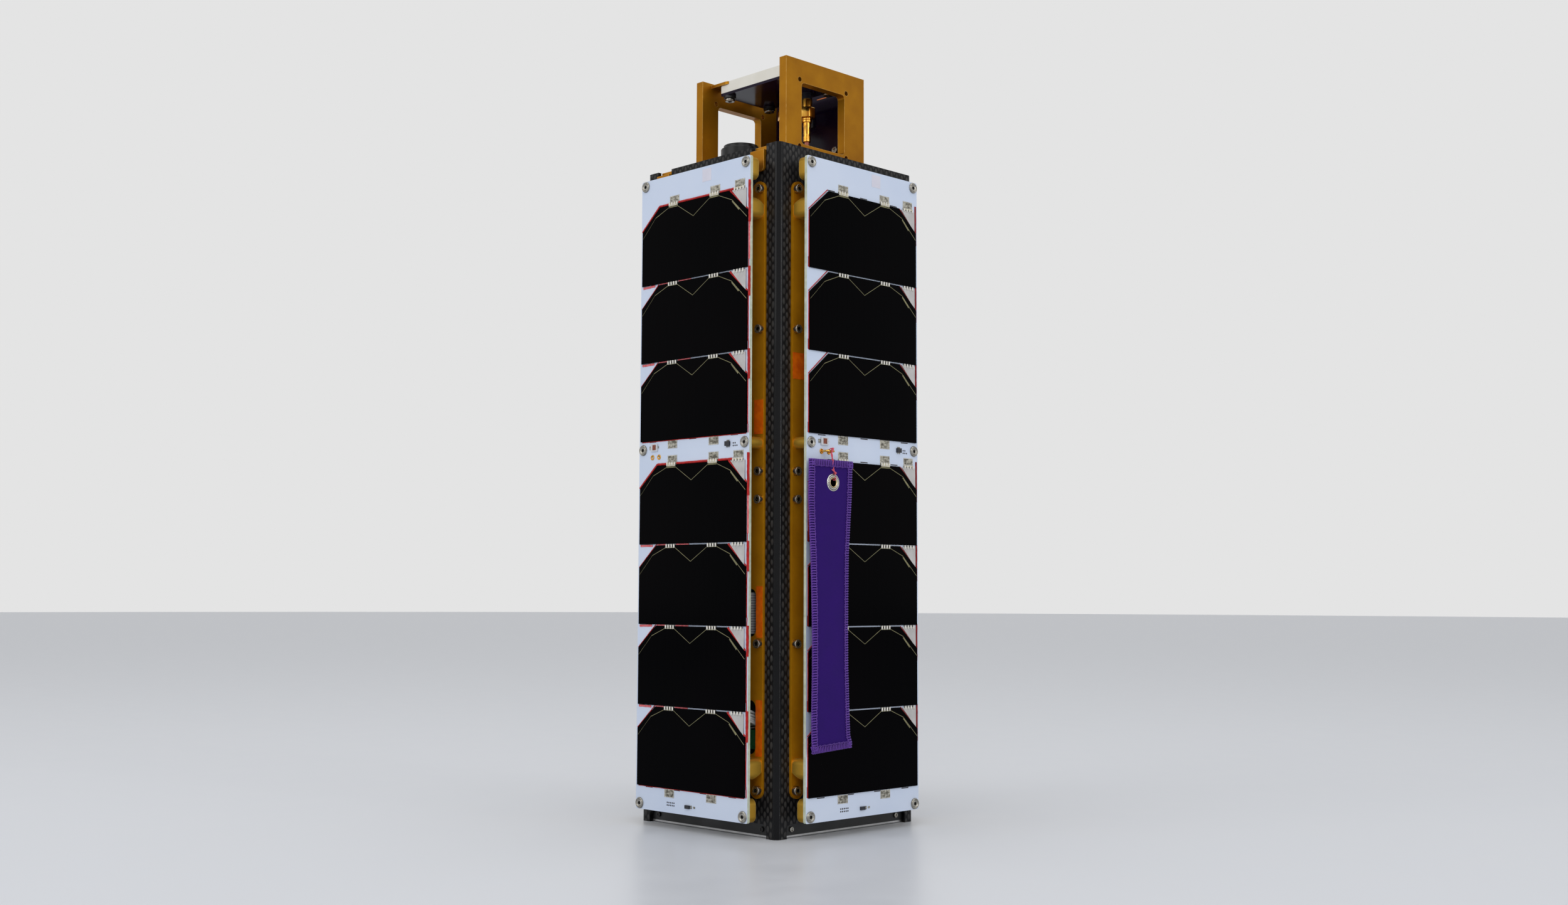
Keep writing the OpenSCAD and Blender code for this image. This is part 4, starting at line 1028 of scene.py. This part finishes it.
def makeThread(s):
    lean, loop, drop, ply = math.radians(s["lean"]), s["loop"], s["drop"], s["ply"]
    down, up = [], []
    for i in range(1, 30):
        t = i / 30
        wide = max(ply, loop * (1 - min(t, 1 - t) / 0.14))
        turn = 2 * math.pi * s["twists"] * t
        side = 0.35 * math.sin(math.pi * t)
        down.append((-wide * math.cos(turn) + side, -drop * t, ply * math.sin(turn)))
        up.append((wide * math.cos(turn) + side, -drop * t, -ply * math.sin(turn)))
    flat = ringPath(loop, 0, 90, 80, 6, 7) + down + ringPath(loop, -drop, 190, 160, 8, 9) + up[::-1] + ringPath(loop, 0, 10, 30, 3, 3)
    tx, ty, tz = s["top"]
    path = [(tx + x, ty + y - z * math.sin(lean), tz + z * math.cos(lean)) for x, z, y in flat]
    o = tube("tagThread", path, s["diameter"] / 2)
    o.data.materials.append(paints["redThread"])
    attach(o, "tag")
    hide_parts("tag_thread")
    knot = [(tx + 0.9 + 0.55 * math.cos(t * 2.1), ty + 0.5 * math.sin(t * 3.3), tz + 1.0 + 0.45 * math.sin(t * 2.1))
            for t in [i * 0.35 for i in range(19)]]
    knot += [(tx + 1.2, ty - 0.6, tz + 0.2), (tx + 1.5, ty - 1.1, tz - 1.4), (tx + 1.6, ty - 1.5, tz - 2.9)]
    tail = [(tx + 1.15 + 0.35 * math.cos(t), -26.5 + 0.45 * math.cos(t * 1.7), 176.0 + 0.55 * math.sin(t))
            for t in [i * 0.6 for i in range(14)]]
    tail += [(tx + 1.3, -27.3, 176.9), (tx + 1.35, -28.2, 177.3), (tx + 1.2, -28.9, 178.0)]
    ends = [asMesh(tube(name, points, 0.24, 2), name) for name, points in (("threadKnot", knot), ("threadTail", tail))]
    k = dress(smooth(joined("threadKnot", ends), 60), "redThread", body="tag")


makeThread(thread)

tag = {"face": 65.04, "top": 182.3, "length": 140, "width": 29.8, "thick": 0.9, "border": 2.9, "stitch": 1.25,
       "outline": ((0, -28.4, 29.8), (0.13, -29.0, 28.8), (0.2, -29.2, 27.5), (0.33, -29.3, 25.5), (0.52, -29.0, 25.0),
                   (0.72, -28.8, 24.4), (0.9, -28.5, 25.0), (0.96, -28.1, 25.0), (0.985, -27.3, 26.2), (1, -27.1, 25.2)),
       "eye": (-27.2, 171.6), "eyeHole": 2.0, "eyeRim": 4.35}  # outline: share of the way down, middle, width


def tagPoint(s, across, down, lift=0.0):  # across from -1 to 1, down from 0 to 1
    t = min(max(down, 0), 1)
    (a, midA, wideA), (b, midB, wideB) = next(pair for pair in zip(s["outline"], s["outline"][1:]) if t <= pair[1][0])
    share = (t - a) / (b - a)
    middle, half = midA + (midB - midA) * share, (wideA + (wideB - wideA) * share) / 2
    bow = 0.5 * math.sin(math.pi * down) + 0.35 * math.sin(2.3 * math.pi * down + 0.6) * across
    x = s["face"] + lift + (bow - 0.35 * across * across * math.sin(math.pi * down)) * min(1.0, down * 6)
    return (x, middle + across * half, s["top"] - s["length"] * down + 0.8 * across * t ** 3)


def throughTag(s):
    return Matrix.Translation((s["face"] * mm, s["eye"][0] * mm, s["eye"][1] * mm)) @ Matrix.Rotation(math.pi / 2, 4, "Y")


def makeTag(s):
    selectNothing()
    bpy.ops.mesh.primitive_grid_add(x_subdivisions=28, y_subdivisions=120, size=2, location=(0, 0, 0))
    cloth = named("flightTag")
    for v in cloth.data.vertices:
        v.co = Vector(tagPoint(s, v.co.x, (1 - v.co.y) / 2)) * mm
    applied(cloth, "SOLIDIFY", thickness=(s["thick"] - 0.2) * mm, offset=0)
    punch = rod("punch", s["eyeHole"] + 0.9, -5, 5, 32)
    punch.data.transform(throughTag(s))
    return dress(smooth(carved(cloth, punch), 50), "tagTwill", body="tag", replaces=("flight_tag",))


def borderWalk(s):  # points round the tag's edge: across, down, and the way in
    wide, tall = s["width"], s["length"]
    spots = []
    for start, end, inward, size in (((-1, 0), (-1, 1), (1, 0), tall), ((-1, 1), (1, 1), (0, -1), wide),
                                     ((1, 1), (1, 0), (-1, 0), tall), ((1, 0), (-1, 0), (0, 1), wide)):
        count = round(size / s["stitch"])
        spots += [(*(p + (q - p) * (i / count) for p, q in zip(start, end)), inward) for i in range(count)]
    return spots


def makeStitches(s):
    half = s["thick"] / 2
    rungs, chain, rim = [], [], []
    for i, (across, down, inward) in enumerate(borderWalk(s)):
        dx, dy = inward[0] * 2 / s["width"], inward[1] / s["length"]
        along = (inward[1] * 2 / s["width"], inward[0] / s["length"])
        reach = s["border"] + 0.15 * (i % 3 - 1)

        def spot(depth, lift, shift=0.0):
            return tagPoint(s, across + dx * depth + along[0] * shift, down + dy * depth + along[1] * shift, lift)

        rungs += [spot(reach, half + 0.05), spot(reach * 0.72, half + 0.24), spot(reach * 0.36, half + 0.24), spot(0.2, half + 0.1),
                  spot(-0.18, 0.0), spot(0.2, -half - 0.1), spot(reach * 0.5, -half - 0.2), spot(reach, -half - 0.1, s["stitch"] * 0.5)]
        chain += [spot(reach + 0.22, half + 0.16, -0.2), spot(reach - 0.3, half + 0.3, 0.25)]
        rim += [spot(0.25, half + 0.12), spot(-0.12, half * 0.4, s["stitch"] * 0.25), spot(-0.12, -half * 0.4, s["stitch"] * 0.5),
                spot(0.25, -half - 0.1, s["stitch"] * 0.75)]
    made = [asMesh(tube(name, path, radius, 1), name)
            for name, path, radius in (("rungs", rungs, 0.34), ("chain", chain + chain[:1], 0.3), ("rim", rim, 0.32))]
    return dress(smooth(joined("tagStitches", made), 60), "stitchYarn", body="tag")


def makeEye(s):
    hole, rim, t = s["eyeHole"], s["eyeRim"], s["thick"] / 2
    lip = ((0.12, 0.28), (0.35, 0.38), (0.62, 0.3), (0.75, 0.14), (0.95, 0.2), (1.4, 0.3), (1.6, 0.12))
    profile = [(hole, -t - 0.05), (hole - 0.02, 0), (hole, t), *((hole + out, t + up) for out, up in lip),
               (rim - 0.55, t + 0.2), (rim - 0.25, t + 0.24), (rim, t + 0.04), (rim, t - 0.1), (hole + 0.9, t - 0.12),
               (hole + 0.9, -t + 0.12), (rim, -t + 0.1), (rim, -t - 0.06), (rim - 0.4, -t - 0.22), (hole + 0.6, -t - 0.2),
               (hole, -t - 0.05)]
    o = turned("tagGrommet", profile, steps=48)
    o.data.transform(throughTag(s))
    return dress(smooth(o, 60), "grommetNickel", body="tag", replaces=("tag_eye",))


cloth = makeTag(tag)
stitches = makeStitches(tag)
eye = makeEye(tag)
print("link, thread and tag hung")

print("done")
